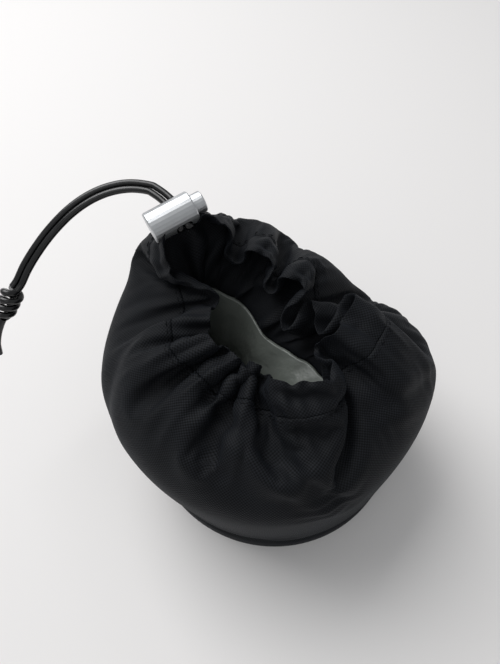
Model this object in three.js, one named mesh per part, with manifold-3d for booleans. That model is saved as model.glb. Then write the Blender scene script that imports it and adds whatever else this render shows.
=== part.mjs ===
// A round drawstring pouch standing on its base: a woven shell with a coated lining, a gathered
// mouth with a cord channel, a doubled rubber cord ending in a knot, and a barrel cord lock.
// Millimetres, +Z up. The origin is the centre of the underside of the base.
import * as THREE from "three";
import { mergeVertices } from "three/addons/utils/BufferGeometryUtils.js";
import Module from "manifold-3d";

const wasm = await Module();
wasm.setup();

// Shell of the body
const baseRadius = 57.5;
const bulgeRadius = 60;
const bulgeHeight = 68;
const bulgeShiftX = -4;
const bulgeShiftY = -3;
const creaseHeight = 10;
const creaseDepth = 2;
const creaseSpread = 3.5;
const dentTurn = 50;
const dentDepth = 14;
const dentSpread = 30;

// Cloth and tape thicknesses, and the gap kept between sewn layers
const shellThickness = 0.8;
const liningThickness = 0.5;
const tapeThickness = 0.4;
const boardThickness = 1.2;
const layerGap = 0.3;

// Mouth: the gathered seam line, whose far end lifts towards the cord lock. Each row is a fold's
// turn about the mouth's centre, its reach and height there, and how far the channel leans inward
const mouthX = -6;
const mouthY = -4;
const mouthFolds = [
  [5, 36, 94, 50],
  [22, 31.5, 91, 52],
  [37, 26, 88.5, 55],
  [50, 24, 89, 55],
  [70, 21.5, 87, 50],
  [91, 31.5, 91.5, 55],
  [104, 32.5, 90, 50],
  [118, 40, 96, 42],
  [132, 43.3, 98, 45],
  [145, 43.5, 97, 44],
  [156, 37, 92.5, 50],
  [168, 29, 88, 62],
  [182, 28.5, 89.5, 64],
  [200, 30.5, 92, 60],
  [214, 26, 87.5, 57],
  [230, 26.5, 89.5, 55],
  [245, 23.5, 86.5, 47],
  [258, 24, 87, 34],
  [272, 26, 86, 20],
  [288, 33.5, 90, 18],
  [306, 37, 91, 22],
  [326, 28.5, 87.5, 52],
  [345, 36, 95, 50],
];
const apexTurn = 132;

// Cord channel: the turned-over top of the shell, open at both ends beside the cord lock
const channelHeight = 12.5;
const channelThickness = 5.6;
const channelWall = 0.8;
const channelEndGap = 8;
const cordRideHeight = 0.5;
const cordLead = 4;
const threadWidth = 0.5;
const seamAllowance = 1.6;

// Tapes over the two inner seams
const sideTapeWidth = 7;
const baseTapeHeight = 4;

// Cord: two strands side by side
const cordRadius = 1.2;
const strandSpacing = 2.6;
const cordClearance = 0.2;

// Cord lock: lockCentre is the middle of the strand pair on the barrel's axis
const lockX = -34.6;
const lockY = 27.8;
const lockZ = 110.8;
const lockYaw = 29.3;
const lockPitch = 9.7;
const lockRoll = 13.7;
const barrelRadius = 5.5;
const barrelBack = 10.9;
const barrelFront = 5.6;
const barrelEndWall = 1.2;
const barrelChamfer = 0.4;
const plungerRadius = 3.65;
const plungerRunningGap = 0.3;
const plungerWeb = 2;
const buttonReach = 4;
const buttonChamfer = 0.35;
const plungerStroke = 2.2;
const springRadius = 2.7;
const springWireRadius = 0.2;
const springTurns = 3;

// The strands curve round cordBend where they pass the lock, and the lock travels along that curve
const cordBend = 28;

// Knot of the two strands, and the cut ends below it
const knotLength = 12;
const knotWidth = 9;
const knotDepth = 8;

// Mesh steps
const bodySteps = 72;
const sideSteps = 4;
const shoulderSteps = 5;
const boardSteps = 44;
const channelSteps = 84;
const sectionSteps = 8;

const degrees = Math.PI / 180;
const baseTop = shellThickness + layerGap;

/** Returns a material for one finish. */
function finish(color, roughness, metalness = 0) {
  return new THREE.MeshStandardMaterial({ color, roughness, metalness });
}

const finishes = {
  shell: finish(0x1a1c20, 0.85),
  lining: finish(0x8e9890, 0.45),
  thread: finish(0x141518, 0.7),
  tape: finish(0x1c1d20, 0.9),
  board: finish(0x6b6258, 0.9),
  rubber: finish(0x101012, 0.25),
  aluminium: finish(0xc9ccce, 0.3, 1),
  steel: finish(0xa9acae, 0.35, 1),
};

const pouch = new THREE.Group();

/** Adds a named mesh to a group. */
function addPiece(name, geometry, material, parent = pouch) {
  const mesh = new THREE.Mesh(geometry, material);
  mesh.name = name;
  parent.add(mesh);
  return mesh;
}

/** Falls smoothly from 1 at zero to 0 a few spreads away. */
function bell(distance, spread) {
  return Math.exp(-((distance / spread) ** 2));
}

/** Signed difference of two angles in degrees, between -180 and 180. */
function turnBetween(angle, other) {
  return ((((angle - other) % 360) + 540) % 360) - 180;
}

/** Distance from the base axis to the widest ring of the body, at an angle in degrees. */
function bulgeReach(angle) {
  const shift = bulgeShiftX * Math.cos(angle * degrees) + bulgeShiftY * Math.sin(angle * degrees);
  return bulgeRadius + shift - dentDepth * bell(turnBetween(angle, dentTurn), dentSpread);
}

/** Value of a column of mouthFolds at an angle, on a smooth curve through the folds. */
function mouthValue(angle, column) {
  const count = mouthFolds.length;
  const turn = (((angle - mouthFolds[0][0]) % 360) + 360) % 360;
  const past = (k) => mouthFolds[(k + count) % count][0] - mouthFolds[0][0] + 360 * Math.floor(k / count);
  const value = (k) => mouthFolds[(k + count) % count][column];
  const slope = (k) => (value(k + 1) - value(k - 1)) / (past(k + 1) - past(k - 1));
  let k = 0;
  while (past(k + 1) <= turn) k++;
  const width = past(k + 1) - past(k);
  const t = (turn - past(k)) / width;
  const start = (2 * t ** 3 - 3 * t ** 2 + 1) * value(k) + (t ** 3 - 2 * t ** 2 + t) * width * slope(k);
  const end = (3 * t ** 2 - 2 * t ** 3) * value(k + 1) + (t ** 3 - t ** 2) * width * slope(k + 1);
  return start + end;
}

/** Distance from the mouth's centre to its seam line. */
function mouthReach(angle) {
  return mouthValue(angle, 1);
}

/** Height of the mouth's seam line. */
function mouthLevel(angle) {
  return mouthValue(angle, 2);
}

/** Point at a distance from the mouth's centre. */
function mouthPoint(angle, reach, height) {
  const x = mouthX + reach * Math.cos(angle * degrees);
  return new THREE.Vector3(x, mouthY + reach * Math.sin(angle * degrees), height);
}

/**
 * Point on the outside of the shell. Stations 0 to 1 climb the side from the base to the widest
 * ring, and stations 1 to 2 cross the shoulder to the mouth's seam line.
 */
function shellPoint(angle, station) {
  const bulge = bulgeReach(angle);
  if (station <= 1) {
    const z = baseTop + (bulgeHeight - baseTop) * station;
    const round = baseRadius - creaseDepth * bell(z - creaseHeight, creaseSpread);
    const swell = THREE.MathUtils.smoothstep(z, creaseHeight, bulgeHeight);
    const reach = round + (bulge - round) * swell;
    return new THREE.Vector3(reach * Math.cos(angle * degrees), reach * Math.sin(angle * degrees), z);
  }
  const quarter = ((station - 1) * Math.PI) / 2;
  const inward = 1 - Math.cos(quarter);
  const seam = mouthPoint(angle, mouthReach(angle), mouthLevel(angle));
  const x = THREE.MathUtils.lerp(bulge * Math.cos(angle * degrees), seam.x, inward);
  const y = THREE.MathUtils.lerp(bulge * Math.sin(angle * degrees), seam.y, inward);
  return new THREE.Vector3(x, y, THREE.MathUtils.lerp(bulgeHeight, seam.z, Math.sin(quarter)));
}

/** Point a given depth under the outside of the shell, measured square to it. */
function layerPoint(angle, station, depth) {
  const turnStep = 0.5;
  const climbStep = 0.004;
  const low = Math.max(station - climbStep, 0);
  const high = Math.min(station + climbStep, 2);
  const round = shellPoint(angle + turnStep, station).sub(shellPoint(angle - turnStep, station));
  const climb = shellPoint(angle, high).sub(shellPoint(angle, low));
  const outward = round.cross(climb).normalize();
  return shellPoint(angle, station).addScaledVector(outward, -depth);
}

/**
 * Closed solid between an outer and an inner grid of points, outer[i][j] and inner[i][j]. The
 * grid wraps round in i, in j or in neither, and its open edges are closed by narrow walls.
 */
function slab(outer, inner, wrapI, wrapJ) {
  const countI = outer.length;
  const countJ = outer[0].length;
  const positions = [...outer.flat(), ...inner.flat()].flatMap((p) => [p.x, p.y, p.z]);
  const indices = [];
  const at = (layer, i, j) => layer * countI * countJ + (i % countI) * countJ + (j % countJ);
  const quad = (a, b, c, d) => indices.push(a, b, c, a, c, d);
  const lastI = wrapI ? countI : countI - 1;
  const lastJ = wrapJ ? countJ : countJ - 1;
  for (let i = 0; i < lastI; i++) {
    for (let j = 0; j < lastJ; j++) {
      quad(at(0, i, j), at(0, i + 1, j), at(0, i + 1, j + 1), at(0, i, j + 1));
      quad(at(1, i, j), at(1, i, j + 1), at(1, i + 1, j + 1), at(1, i + 1, j));
    }
  }
  for (let i = 0; !wrapJ && i < lastI; i++) {
    quad(at(0, i, 0), at(1, i, 0), at(1, i + 1, 0), at(0, i + 1, 0));
    quad(at(0, i, lastJ), at(0, i + 1, lastJ), at(1, i + 1, lastJ), at(1, i, lastJ));
  }
  for (let j = 0; !wrapI && j < lastJ; j++) {
    quad(at(0, 0, j), at(0, 0, j + 1), at(1, 0, j + 1), at(1, 0, j));
    quad(at(0, lastI, j), at(1, lastI, j), at(1, lastI, j + 1), at(0, lastI, j + 1));
  }
  const geometry = new THREE.BufferGeometry();
  geometry.setAttribute("position", new THREE.Float32BufferAttribute(positions, 3));
  geometry.setIndex(indices);
  return geometry;
}

/** Evenly spaced numbers from low to high, both ends included. */
function spread(low, high, steps) {
  return Array.from({ length: steps + 1 }, (_, i) => low + ((high - low) * i) / steps);
}

/** Station of the shell's side at a height. */
function stationAt(height) {
  return (height - baseTop) / (bulgeHeight - baseTop);
}

/** Sheet of a thickness that follows the shell at a depth, over given angles and stations. */
function bodySheet(angles, stations, depth, thickness, wraps) {
  const layer = (d) => angles.map((angle) => stations.map((s) => layerPoint(angle, s, d)));
  return slab(layer(depth), layer(depth + thickness), wraps, false);
}

/** Flat round disc between two heights. */
function disc(radius, low, high, steps) {
  const profile = [
    new THREE.Vector2(0, low),
    new THREE.Vector2(radius, low),
    new THREE.Vector2(radius, high),
    new THREE.Vector2(0, high),
  ];
  return new THREE.LatheGeometry(profile, steps).rotateX(Math.PI / 2);
}

const fullTurn = (steps) => spread(0, 360, steps).slice(0, -1);
const tapeDepth = shellThickness + layerGap;
const liningDepth = tapeDepth + tapeThickness + layerGap;
const boardTop = baseTop + boardThickness;
const liningBaseTop = boardTop + layerGap + liningThickness;
const liningFoot = liningBaseTop + layerGap;

// Shell: the base disc and the wall that stands on its rim
addPiece("outer_base", disc(baseRadius, 0, shellThickness, bodySteps), finishes.shell);
const creaseStations = [baseTop, baseTop + baseTapeHeight, creaseHeight].map(stationAt);
const sideStations = spread(stationAt(creaseHeight + 2 * creaseSpread), 1, sideSteps);
const shoulderStations = spread(1, 2, shoulderSteps).slice(1);
const wallStations = [...creaseStations, ...sideStations, ...shoulderStations];
const wallSheet = bodySheet(fullTurn(bodySteps), wallStations, 0, shellThickness, true);
addPiece("outer_wall", wallSheet, finishes.shell);

// Board that keeps the base flat, between the shell and the lining
const boardRadius = baseRadius - liningDepth;
addPiece("base_board", disc(boardRadius, baseTop, boardTop, boardSteps), finishes.board);

// Tapes over the side seam and over the seam between base and wall
const tapeHalfTurn = sideTapeWidth / 2 / baseRadius / degrees;
const tapeAngles = spread(apexTurn - tapeHalfTurn, apexTurn + tapeHalfTurn, 2);
const tapeFoot = baseTop + baseTapeHeight + layerGap;
const tapeStations = [stationAt(tapeFoot), ...creaseStations.slice(2), ...sideStations];
tapeStations.push(...shoulderStations.slice(0, -1));
const sideTape = bodySheet(tapeAngles, tapeStations, tapeDepth, tapeThickness, false);
addPiece("side_seam_tape", sideTape, finishes.tape);
const baseTapeStations = [stationAt(baseTop), stationAt(baseTop + baseTapeHeight)];
const baseTape = bodySheet(fullTurn(bodySteps), baseTapeStations, tapeDepth, tapeThickness, true);
addPiece("base_seam_tape", baseTape, finishes.tape);

// Lining: a base disc over the board and a wall sheet inside the shell
const liningBase = disc(boardRadius, boardTop + layerGap, liningBaseTop, boardSteps);
addPiece("lining_base", liningBase, finishes.lining);
const liningStations = [stationAt(liningFoot), ...wallStations.slice(2)];
const liningSheet = bodySheet(fullTurn(bodySteps), liningStations, liningDepth, liningThickness, true);
addPiece("lining_wall", liningSheet, finishes.lining);

/** Point on the channel's middle surface, up it from its middle by rise. */
function channelMiddle(angle, rise) {
  const lean = mouthValue(angle, 3) * degrees;
  const up = layerGap + channelHeight / 2 + rise;
  return mouthPoint(angle, mouthReach(angle) - up * Math.sin(lean), mouthLevel(angle) + up * Math.cos(lean));
}

/** Point beside the channel's middle surface: out from it by across, and up it by rise. */
function channelPoint(angle, across, rise) {
  const step = 0.5;
  const round = channelMiddle(angle + step, rise).sub(channelMiddle(angle - step, rise));
  const climb = channelMiddle(angle, rise + step).sub(channelMiddle(angle, rise - step));
  return channelMiddle(angle, rise).addScaledVector(round.cross(climb).normalize(), across);
}

/** Ring of points round the channel's section, a given depth under its outer face. */
function channelRing(angle, depth) {
  return spread(0, 360, sectionSteps).slice(0, -1).map((turn) => {
    const cos = Math.cos(turn * degrees);
    const sin = Math.sin(turn * degrees);
    const across = Math.sign(cos) * Math.abs(cos) ** 0.8 * (channelThickness / 2 - depth);
    const rise = Math.sign(sin) * Math.abs(sin) ** 0.6 * (channelHeight / 2 - depth);
    return channelPoint(angle, across, rise);
  });
}

// Channel: a flattened tube round the mouth, open at both ends
const channelFrom = apexTurn + channelEndGap;
const channelTo = apexTurn + 360 - channelEndGap;
const channelAngles = spread(channelFrom, channelTo, channelSteps);
const channelOuter = channelAngles.map((angle) => channelRing(angle, 0));
const channelInner = channelAngles.map((angle) => channelRing(angle, channelWall));
addPiece("drawstring_channel", slab(channelOuter, channelInner, false, true), finishes.shell);

// Row of stitching along the foot of the channel, on its outer face
const seamRise = seamAllowance - channelHeight / 2;
const threadFace = channelThickness / 2 + layerGap;
const threadSide = (across) =>
  channelAngles.map((angle) => [
    channelPoint(angle, across, seamRise),
    channelPoint(angle, across, seamRise + threadWidth),
  ]);
const threadRow = slab(threadSide(threadFace + threadWidth), threadSide(threadFace), false, false);
addPiece("channel_stitching", threadRow, finishes.thread);

// Frame of the cord lock: x along the strands, y across them, z along the barrel to its button
const lockCentre = new THREE.Vector3(lockX, lockY, lockZ);
const barrelAxis = new THREE.Vector3(
  Math.cos(lockPitch * degrees) * Math.cos(lockYaw * degrees),
  Math.cos(lockPitch * degrees) * Math.sin(lockYaw * degrees),
  Math.sin(lockPitch * degrees),
);
const level = new THREE.Vector3(0, 0, 1).cross(barrelAxis).normalize();
const strandAxis = level.applyAxisAngle(barrelAxis, lockRoll * degrees).normalize();
const bendAxis = barrelAxis.clone().cross(strandAxis).normalize();
const lock = new THREE.Group();
lock.position.copy(lockCentre);
lock.quaternion.setFromRotationMatrix(new THREE.Matrix4().makeBasis(strandAxis, bendAxis, barrelAxis));
pouch.add(lock);

/** Turns a closed three.js geometry into a solid that can be cut. */
function solidOf(geometry) {
  const bare = geometry.clone();
  bare.deleteAttribute("normal");
  bare.deleteAttribute("uv");
  const merged = mergeVertices(bare, 1e-4);
  const vertProperties = new Float32Array(merged.attributes.position.array);
  const triVerts = new Uint32Array(merged.index.array);
  return new wasm.Manifold(new wasm.Mesh({ numProp: 3, vertProperties, triVerts }));
}

/** Turns a cut solid back into a geometry. */
function geometryOf(solid) {
  const mesh = solid.getMesh();
  const geometry = new THREE.BufferGeometry();
  geometry.setAttribute("position", new THREE.BufferAttribute(new Float32Array(mesh.vertProperties), 3));
  geometry.setIndex(Array.from(mesh.triVerts));
  return geometry;
}

/** Turned piece about its own z axis, from a profile of radius and height pairs. */
function turned(pairs, steps) {
  const profile = pairs.map(([radius, height]) => new THREE.Vector2(radius, height));
  return new THREE.LatheGeometry(profile, steps).rotateX(Math.PI / 2);
}

/** Cutter with round ends for the strands' slot, along x, from low to high on the barrel's axis. */
function slotCutter(low, high) {
  const half = cordRadius + cordClearance;
  const outline = new THREE.Shape();
  outline.absarc(0, high - half, half, 0, Math.PI, false);
  outline.absarc(0, low + half, half, Math.PI, 2 * Math.PI, false);
  outline.closePath();
  const length = 4 * barrelRadius;
  const cutter = new THREE.ExtrudeGeometry(outline, { depth: length, bevelEnabled: false, curveSegments: 6 });
  cutter.translate(0, 0, -length / 2);
  cutter.applyMatrix4(new THREE.Matrix4().makeBasis(
    new THREE.Vector3(0, 1, 0),
    new THREE.Vector3(0, 0, 1),
    new THREE.Vector3(1, 0, 0),
  ));
  return solidOf(cutter);
}

/** How far a strand's curve falls away from straight at a distance from the lock's centre. */
function strandSag(distance) {
  const innerBend = cordBend - strandSpacing / 2 - cordRadius;
  return innerBend - Math.sqrt(innerBend ** 2 - distance ** 2);
}

const pairHalf = strandSpacing / 2 + cordRadius;
const barrelSlotLow = -(pairHalf + strandSag(barrelRadius) + cordClearance);
const slotHigh = pairHalf + cordClearance;
const plungerSlotLow = -(pairHalf + strandSag(plungerRadius) + cordClearance);
const plungerBack = plungerSlotLow - plungerWeb;
const boreFloor = -barrelBack + barrelEndWall;
const boreRadius = plungerRadius + plungerRunningGap;

// Barrel: closed at the back, bored from the front, with a slot across for the strands
const barrelBlank = solidOf(turned([
  [0, -barrelBack],
  [barrelRadius - barrelChamfer, -barrelBack],
  [barrelRadius, -barrelBack + barrelChamfer],
  [barrelRadius, barrelFront - barrelChamfer],
  [barrelRadius - barrelChamfer, barrelFront],
  [boreRadius, barrelFront],
  [boreRadius, boreFloor],
  [0, boreFloor],
], 28));
const barrelSolid = barrelBlank.subtract(slotCutter(barrelSlotLow, slotHigh));
addPiece("lock_barrel", geometryOf(barrelSolid), finishes.aluminium, lock);

// Plunger: its slot stands off the barrel's by the stroke, so the spring nips the strands
const buttonEnd = barrelFront + buttonReach;
const plungerBlank = solidOf(turned([
  [0, plungerBack],
  [plungerRadius, plungerBack],
  [plungerRadius, buttonEnd - buttonChamfer],
  [plungerRadius - buttonChamfer, buttonEnd],
  [0, buttonEnd],
], 24));
const plungerSolid = plungerBlank.subtract(slotCutter(plungerSlotLow, slotHigh + plungerStroke));
addPiece("lock_plunger", geometryOf(plungerSolid), finishes.aluminium, lock);

/** Tube of a round section along a curve. */
function tube(curve, radius, steps, sides) {
  const section = new THREE.Shape();
  section.absarc(0, 0, radius, 0, 2 * Math.PI, false);
  const settings = { extrudePath: curve, steps, bevelEnabled: false, curveSegments: sides / 2 };
  return new THREE.ExtrudeGeometry(section, settings);
}

/** Least distance between turns of a coil, wire to wire. */
function coilGap(points, wireRadius, skip) {
  let least = Infinity;
  for (let i = 0; i < points.length; i++) {
    for (let j = i + skip; j < points.length; j++) {
      least = Math.min(least, points[i].distanceTo(points[j]) - 2 * wireRadius);
    }
  }
  return least;
}

// Spring between the bore's floor and the plunger
const springLow = boreFloor + layerGap + springWireRadius;
const springHigh = plungerBack - layerGap - springWireRadius;
const springPoints = spread(0, springTurns, 8 * Math.round(springTurns)).map((turn) => {
  const x = springRadius * Math.cos(turn * 2 * Math.PI);
  const y = springRadius * Math.sin(turn * 2 * Math.PI);
  return new THREE.Vector3(x, y, springLow + ((springHigh - springLow) * turn) / springTurns);
});
const springCurve = new THREE.CatmullRomCurve3(springPoints);
addPiece("lock_spring", tube(springCurve, springWireRadius, springPoints.length - 1, 6), finishes.steel, lock);
console.log("spring gap", coilGap(springPoints, springWireRadius, 6).toFixed(2));

/** Point of a strand on its bend through the lock: side is 1 or -1, and turn is in radians. */
function bendPoint(side, turn) {
  const reach = cordBend + (side * strandSpacing) / 2;
  return lockCentre.clone()
    .addScaledVector(barrelAxis, reach * Math.cos(turn) - cordBend)
    .addScaledVector(strandAxis, reach * Math.sin(turn));
}

/** Moves a route sideways by half the strands' spacing, square to the route. */
function besideRoute(points, side) {
  return points.map((point, i) => {
    const before = points[Math.max(i - 1, 0)];
    const after = points[Math.min(i + 1, points.length - 1)];
    const across = after.clone().sub(before).cross(bendAxis).normalize();
    return point.clone().addScaledVector(across, (side * strandSpacing) / 2);
  });
}

// Cord inside the channel, from the lock round the mouth and back through the lock
const exitTurn = barrelRadius / cordBend;
const clearTurn = exitTurn + 2 * layerGap * exitTurn;
const heldTurns = [...spread(exitTurn, -exitTurn, 5), -clearTurn];
const cordEndTurn = channelEndGap - cordLead;
const apexSide = (side) => channelPoint(apexTurn - side * cordEndTurn, 0, cordRideHeight);
const approach = (side) => {
  const entry = bendPoint(side, -clearTurn);
  const mouth = apexSide(side);
  return entry.clone().lerp(mouth, 0.5).add(new THREE.Vector3(0, 0, 0.3));
};
const roundAngles = spread(apexTurn - cordEndTurn, apexTurn - 360 + cordEndTurn, 84);
const heldPoints = [
  ...heldTurns.map((turn) => bendPoint(1, turn)),
  approach(1),
  ...roundAngles.map((angle) => channelPoint(angle, 0, cordRideHeight)),
  approach(-1),
  ...heldTurns.toReversed().map((turn) => bendPoint(-1, turn)),
];
const heldCurve = new THREE.CatmullRomCurve3(heldPoints, false, "centripetal");
addPiece("channel_cord", tube(heldCurve, cordRadius, 150, 8), finishes.rubber);

// Free cord: the middle line of the strand pair from the lock to the knot
const bendTurns = spread(exitTurn + layerGap / cordBend, 0.5, 5);
const pairRoute = [
  [-51.5, 38.6, 113.3],
  [-58.6, 38.1, 112.4],
  [-65.6, 36.2, 110.5],
  [-72.9, 32.9, 107.2],
  [-80.3, 28.2, 102.3],
  [-86.2, 23.4, 97.3],
  [-90.4, 19.3, 93],
  [-93.6, 15.7, 88.9],
].map((p) => new THREE.Vector3(...p));
const knotCentre = new THREE.Vector3(-98.4, 10.6, 83.6);
const knotAxis = new THREE.Vector3(-0.53, -0.53, -0.66).normalize();
const knotReach = knotLength / 2 + layerGap;
pairRoute.push(knotCentre.clone().addScaledVector(knotAxis, -knotReach));
for (const [name, side] of [["cord_strand_outer", 1], ["cord_strand_inner", -1]]) {
  const bend = bendTurns.map((turn) => bendPoint(side, turn));
  const curve = new THREE.CatmullRomCurve3([...bend, ...besideRoute(pairRoute, side)], false, "centripetal");
  addPiece(name, tube(curve, cordRadius, 26, 8), finishes.rubber);
}

// Knot: the outer shape of both strands tied together, and the two cut ends below it
const knot = new THREE.SphereGeometry(0.5, 12, 8).scale(knotDepth, knotLength, knotWidth);
knot.applyQuaternion(new THREE.Quaternion().setFromUnitVectors(new THREE.Vector3(0, 1, 0), knotAxis));
addPiece("cord_knot", knot.translate(...knotCentre), finishes.rubber);
const tailRoutes = [
  ["cord_tail_outer", 1, [[-106.1, 6.6, 75.6], [-109.4, 5.2, 71], [-111.6, 4.8, 66]]],
  ["cord_tail_inner", -1, [[-103.3, 4, 75.2], [-105.2, 1.6, 70.4], [-106.2, 0.2, 65.4]]],
];
const knotFoot = knotCentre.clone().addScaledVector(knotAxis, knotReach);
for (const [name, side, route] of tailRoutes) {
  const start = besideRoute([knotFoot, knotFoot.clone().add(knotAxis)], side);
  const points = [...start, ...route.map((p) => new THREE.Vector3(...p))];
  const curve = new THREE.CatmullRomCurve3(points, false, "centripetal");
  addPiece(name, tube(curve, cordRadius, 8, 8), finishes.rubber);
}

export default pouch;
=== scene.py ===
"""A round drawstring pouch with a barrel cord lock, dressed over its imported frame."""

import logging
import math
from dataclasses import dataclass, field
from enum import Enum
from functools import cached_property

import bpy
import numpy as np
from mathutils import Matrix, Vector


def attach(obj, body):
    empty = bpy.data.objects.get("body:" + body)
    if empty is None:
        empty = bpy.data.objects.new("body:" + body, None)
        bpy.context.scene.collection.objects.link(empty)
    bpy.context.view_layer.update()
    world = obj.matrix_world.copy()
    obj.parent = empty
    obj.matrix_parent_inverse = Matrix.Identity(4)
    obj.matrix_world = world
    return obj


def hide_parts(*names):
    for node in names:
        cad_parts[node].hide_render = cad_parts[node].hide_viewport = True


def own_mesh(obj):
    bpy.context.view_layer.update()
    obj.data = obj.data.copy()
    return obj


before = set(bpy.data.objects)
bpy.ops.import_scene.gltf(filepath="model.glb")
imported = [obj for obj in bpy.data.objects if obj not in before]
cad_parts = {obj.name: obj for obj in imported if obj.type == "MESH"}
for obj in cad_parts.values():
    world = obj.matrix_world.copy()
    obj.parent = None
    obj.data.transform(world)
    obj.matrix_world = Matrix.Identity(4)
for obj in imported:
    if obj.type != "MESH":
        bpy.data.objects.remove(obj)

LOG = logging.getLogger("pouch")
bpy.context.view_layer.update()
MM = 0.001
TAU = 2 * math.pi
UP = np.array([0, 0, 1.0])
# Stands in for a length of zero where something is divided by it.
TINY = 1e-9
# The cloth's UV map counts in units of 100 mm.
UV_SCALE = 0.01

Point = tuple[float, float, float]
Points = np.ndarray
Waves = tuple[tuple[float, int, float], ...]
Socket = bpy.types.NodeSocket


# ---------------------------------------------------------------------------------------------
# Curves and grids of points
# ---------------------------------------------------------------------------------------------


def bell(distance: Points, spread: float) -> Points:
    """Falls smoothly from 1 at zero to 0 a few spreads away."""
    return np.exp(-((distance / spread) ** 2))


def ease(values: Points | float, low: float, high: float) -> Points:
    """Rises smoothly from 0 at low to 1 at high."""
    share = np.clip((np.asarray(values, float) - low) / (high - low), 0, 1)
    return share * share * (3 - 2 * share)


def shortest(offset: Points, whole: float) -> Points:
    """The shorter way round a closed line of a whole length, forwards or back."""
    return (offset + 1.5 * whole) % whole - whole / 2


def unit(vectors: Points) -> Points:
    """Scales vectors to length 1."""
    length = np.linalg.norm(vectors, axis=-1, keepdims=True)
    return vectors / np.maximum(length, TINY)


def hermite(
    t: Points, start: Points, end: Points, leave: Points, arrive: Points, span: Points = 1.0
) -> Points:
    """Place on the smooth cubic between two places.

    Args:
        t: The share of the way.
        start: The first place.
        end: The second place.
        leave: The slope at the first place.
        arrive: The slope at the second place.
        span: The length of the way, where the slopes are per unit of it.

    Returns:
        The place at that share.
    """
    return (
        (2 * t**3 - 3 * t**2 + 1) * start
        + (t**3 - 2 * t**2 + t) * span * leave
        + (3 * t**2 - 2 * t**3) * end
        + (t**3 - t**2) * span * arrive
    )


def arch(t: float, start: Points, middle: Points, end: Points) -> Points:
    """Place on the curve from start to end that is drawn towards a middle point."""
    return start * (1 - t) ** 2 + 2 * t * (1 - t) * middle + end * t * t


def round_the_edge(places: list[float], values: list[float], along: Points, girth: float) -> Points:
    """Interpolates values given at places round the cloth's edge smoothly to others.

    Args:
        places: The places, rising, in millimetres along the edge.
        values: The value at each place.
        along: Where the values are wanted.
        girth: The edge's length, after which it starts again.

    Returns:
        A value for each wanted place.
    """
    before, after = [p - girth for p in places[-3:]], [p + girth for p in places[:3]]
    knots = np.array(before + places + after)
    heights = np.array(values[-3:] + values + values[:3])
    width = np.diff(knots)
    rise = np.diff(heights) / width
    slope = np.zeros(len(heights))
    slope[1:-1] = (rise[:-1] * width[1:] + rise[1:] * width[:-1]) / (width[1:] + width[:-1])
    k = np.clip(np.searchsorted(knots, along, side="right") - 1, 0, len(heights) - 2)
    span = knots[k + 1] - knots[k]
    t = (along - knots[k]) / span
    return hermite(t, heights[k], heights[k + 1], slope[k], slope[k + 1], span)


def smooth_route(points: Points, per_span: int) -> Points:
    """Runs a centripetal Catmull-Rom curve through points.

    Args:
        points: The points, one per row.
        per_span: How many steps there are between two points.

    Returns:
        The points of the smooth route, both ends included.
    """
    pts = np.vstack([2 * points[0] - points[1], points, 2 * points[-1] - points[-2]])
    route = []
    for i in range(1, len(pts) - 2):
        p0, p1, p2, p3 = pts[i - 1 : i + 3]
        pairs = ((p0, p1), (p1, p2), (p2, p3))
        t0, t1, t2 = (max(np.linalg.norm(b - a) ** 0.5, TINY) for a, b in pairs)
        leave = ((p1 - p0) / t0 - (p2 - p0) / (t0 + t1) + (p2 - p1) / t1) * t1
        arrive = ((p2 - p1) / t1 - (p3 - p1) / (t1 + t2) + (p3 - p2) / t2) * t1
        route.extend(hermite(k / per_span, p1, p2, leave, arrive) for k in range(per_span))
    route.append(pts[-2])
    return np.array(route)


def between(before: Points, first: Points, second: Points, after: Points) -> Points:
    """Point half way between two neighbours on a smooth curve through four."""
    return (9 * (first + second) - before - after) / 16


def refine(points: Points) -> Points:
    """Doubles the rows and columns of a grid of points that wraps round in its columns.

    Args:
        points: Rows by columns by 3.

    Returns:
        The finer grid, with the given points in it.
    """
    middle = between(np.roll(points, 1, 1), points, np.roll(points, -1, 1), np.roll(points, -2, 1))
    wide = np.stack([points, middle], 2).reshape(points.shape[0], -1, 3)
    ends = np.concatenate([2 * wide[:1] - wide[1:2], wide, 2 * wide[-1:] - wide[-2:-1]])
    middle = between(ends[:-3], ends[1:-2], ends[2:-1], ends[3:])
    rows = np.stack([wide[:-1], middle], 1).reshape(-1, wide.shape[1], 3)
    return np.concatenate([rows, wide[-1:]])


def mix_rows(rows: Points, spot: float) -> Points:
    """Row at a fractional number, mixed from the two rows beside it."""
    k = min(int(spot), len(rows) - 2)
    t = spot - k
    return rows[k] * (1 - t) + rows[k + 1] * t


def sway(turn: Points, waves: Waves) -> Points:
    """Sums waves round the cloth, each of a depth, a number of waves and a phase."""
    return sum(depth * np.sin(number * turn + phase) for depth, number, phase in waves)


def sheet_normals(points: Points) -> Points:
    """Outward normals of a grid of points that wraps round in its columns."""
    across = np.roll(points, -1, 1) - np.roll(points, 1, 1)
    return unit(np.cross(across, np.gradient(points, axis=0)))


def hang(start: Points, end: Points, first: Points, last: Points, steps: int) -> Points:
    """Rows of a sheet that hangs from one edge to another.

    Args:
        start: The points of its first edge.
        end: The points of its last edge.
        first: The points towards which it leaves the first edge.
        last: The points from which it comes to the last edge.
        steps: How many rows it has.

    Returns:
        Rows by columns by 3.
    """
    rows = []
    for t in np.linspace(0, 1, steps):
        s = 1 - t
        rows.append(s**3 * start + 3 * s * s * t * first + 3 * s * t * t * last + t**3 * end)
    return np.array(rows)


def flat_places(rows: Points, columns: Points) -> Points:
    """Places on the flat cloth for a grid of heights and places along the edge."""
    across, up = np.meshgrid(columns, rows)
    return np.stack([across, up], -1)


# ---------------------------------------------------------------------------------------------
# Meshes
# ---------------------------------------------------------------------------------------------


def deselect() -> None:
    """Leaves nothing selected."""
    for obj in bpy.context.selected_objects:
        obj.select_set(False)


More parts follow.
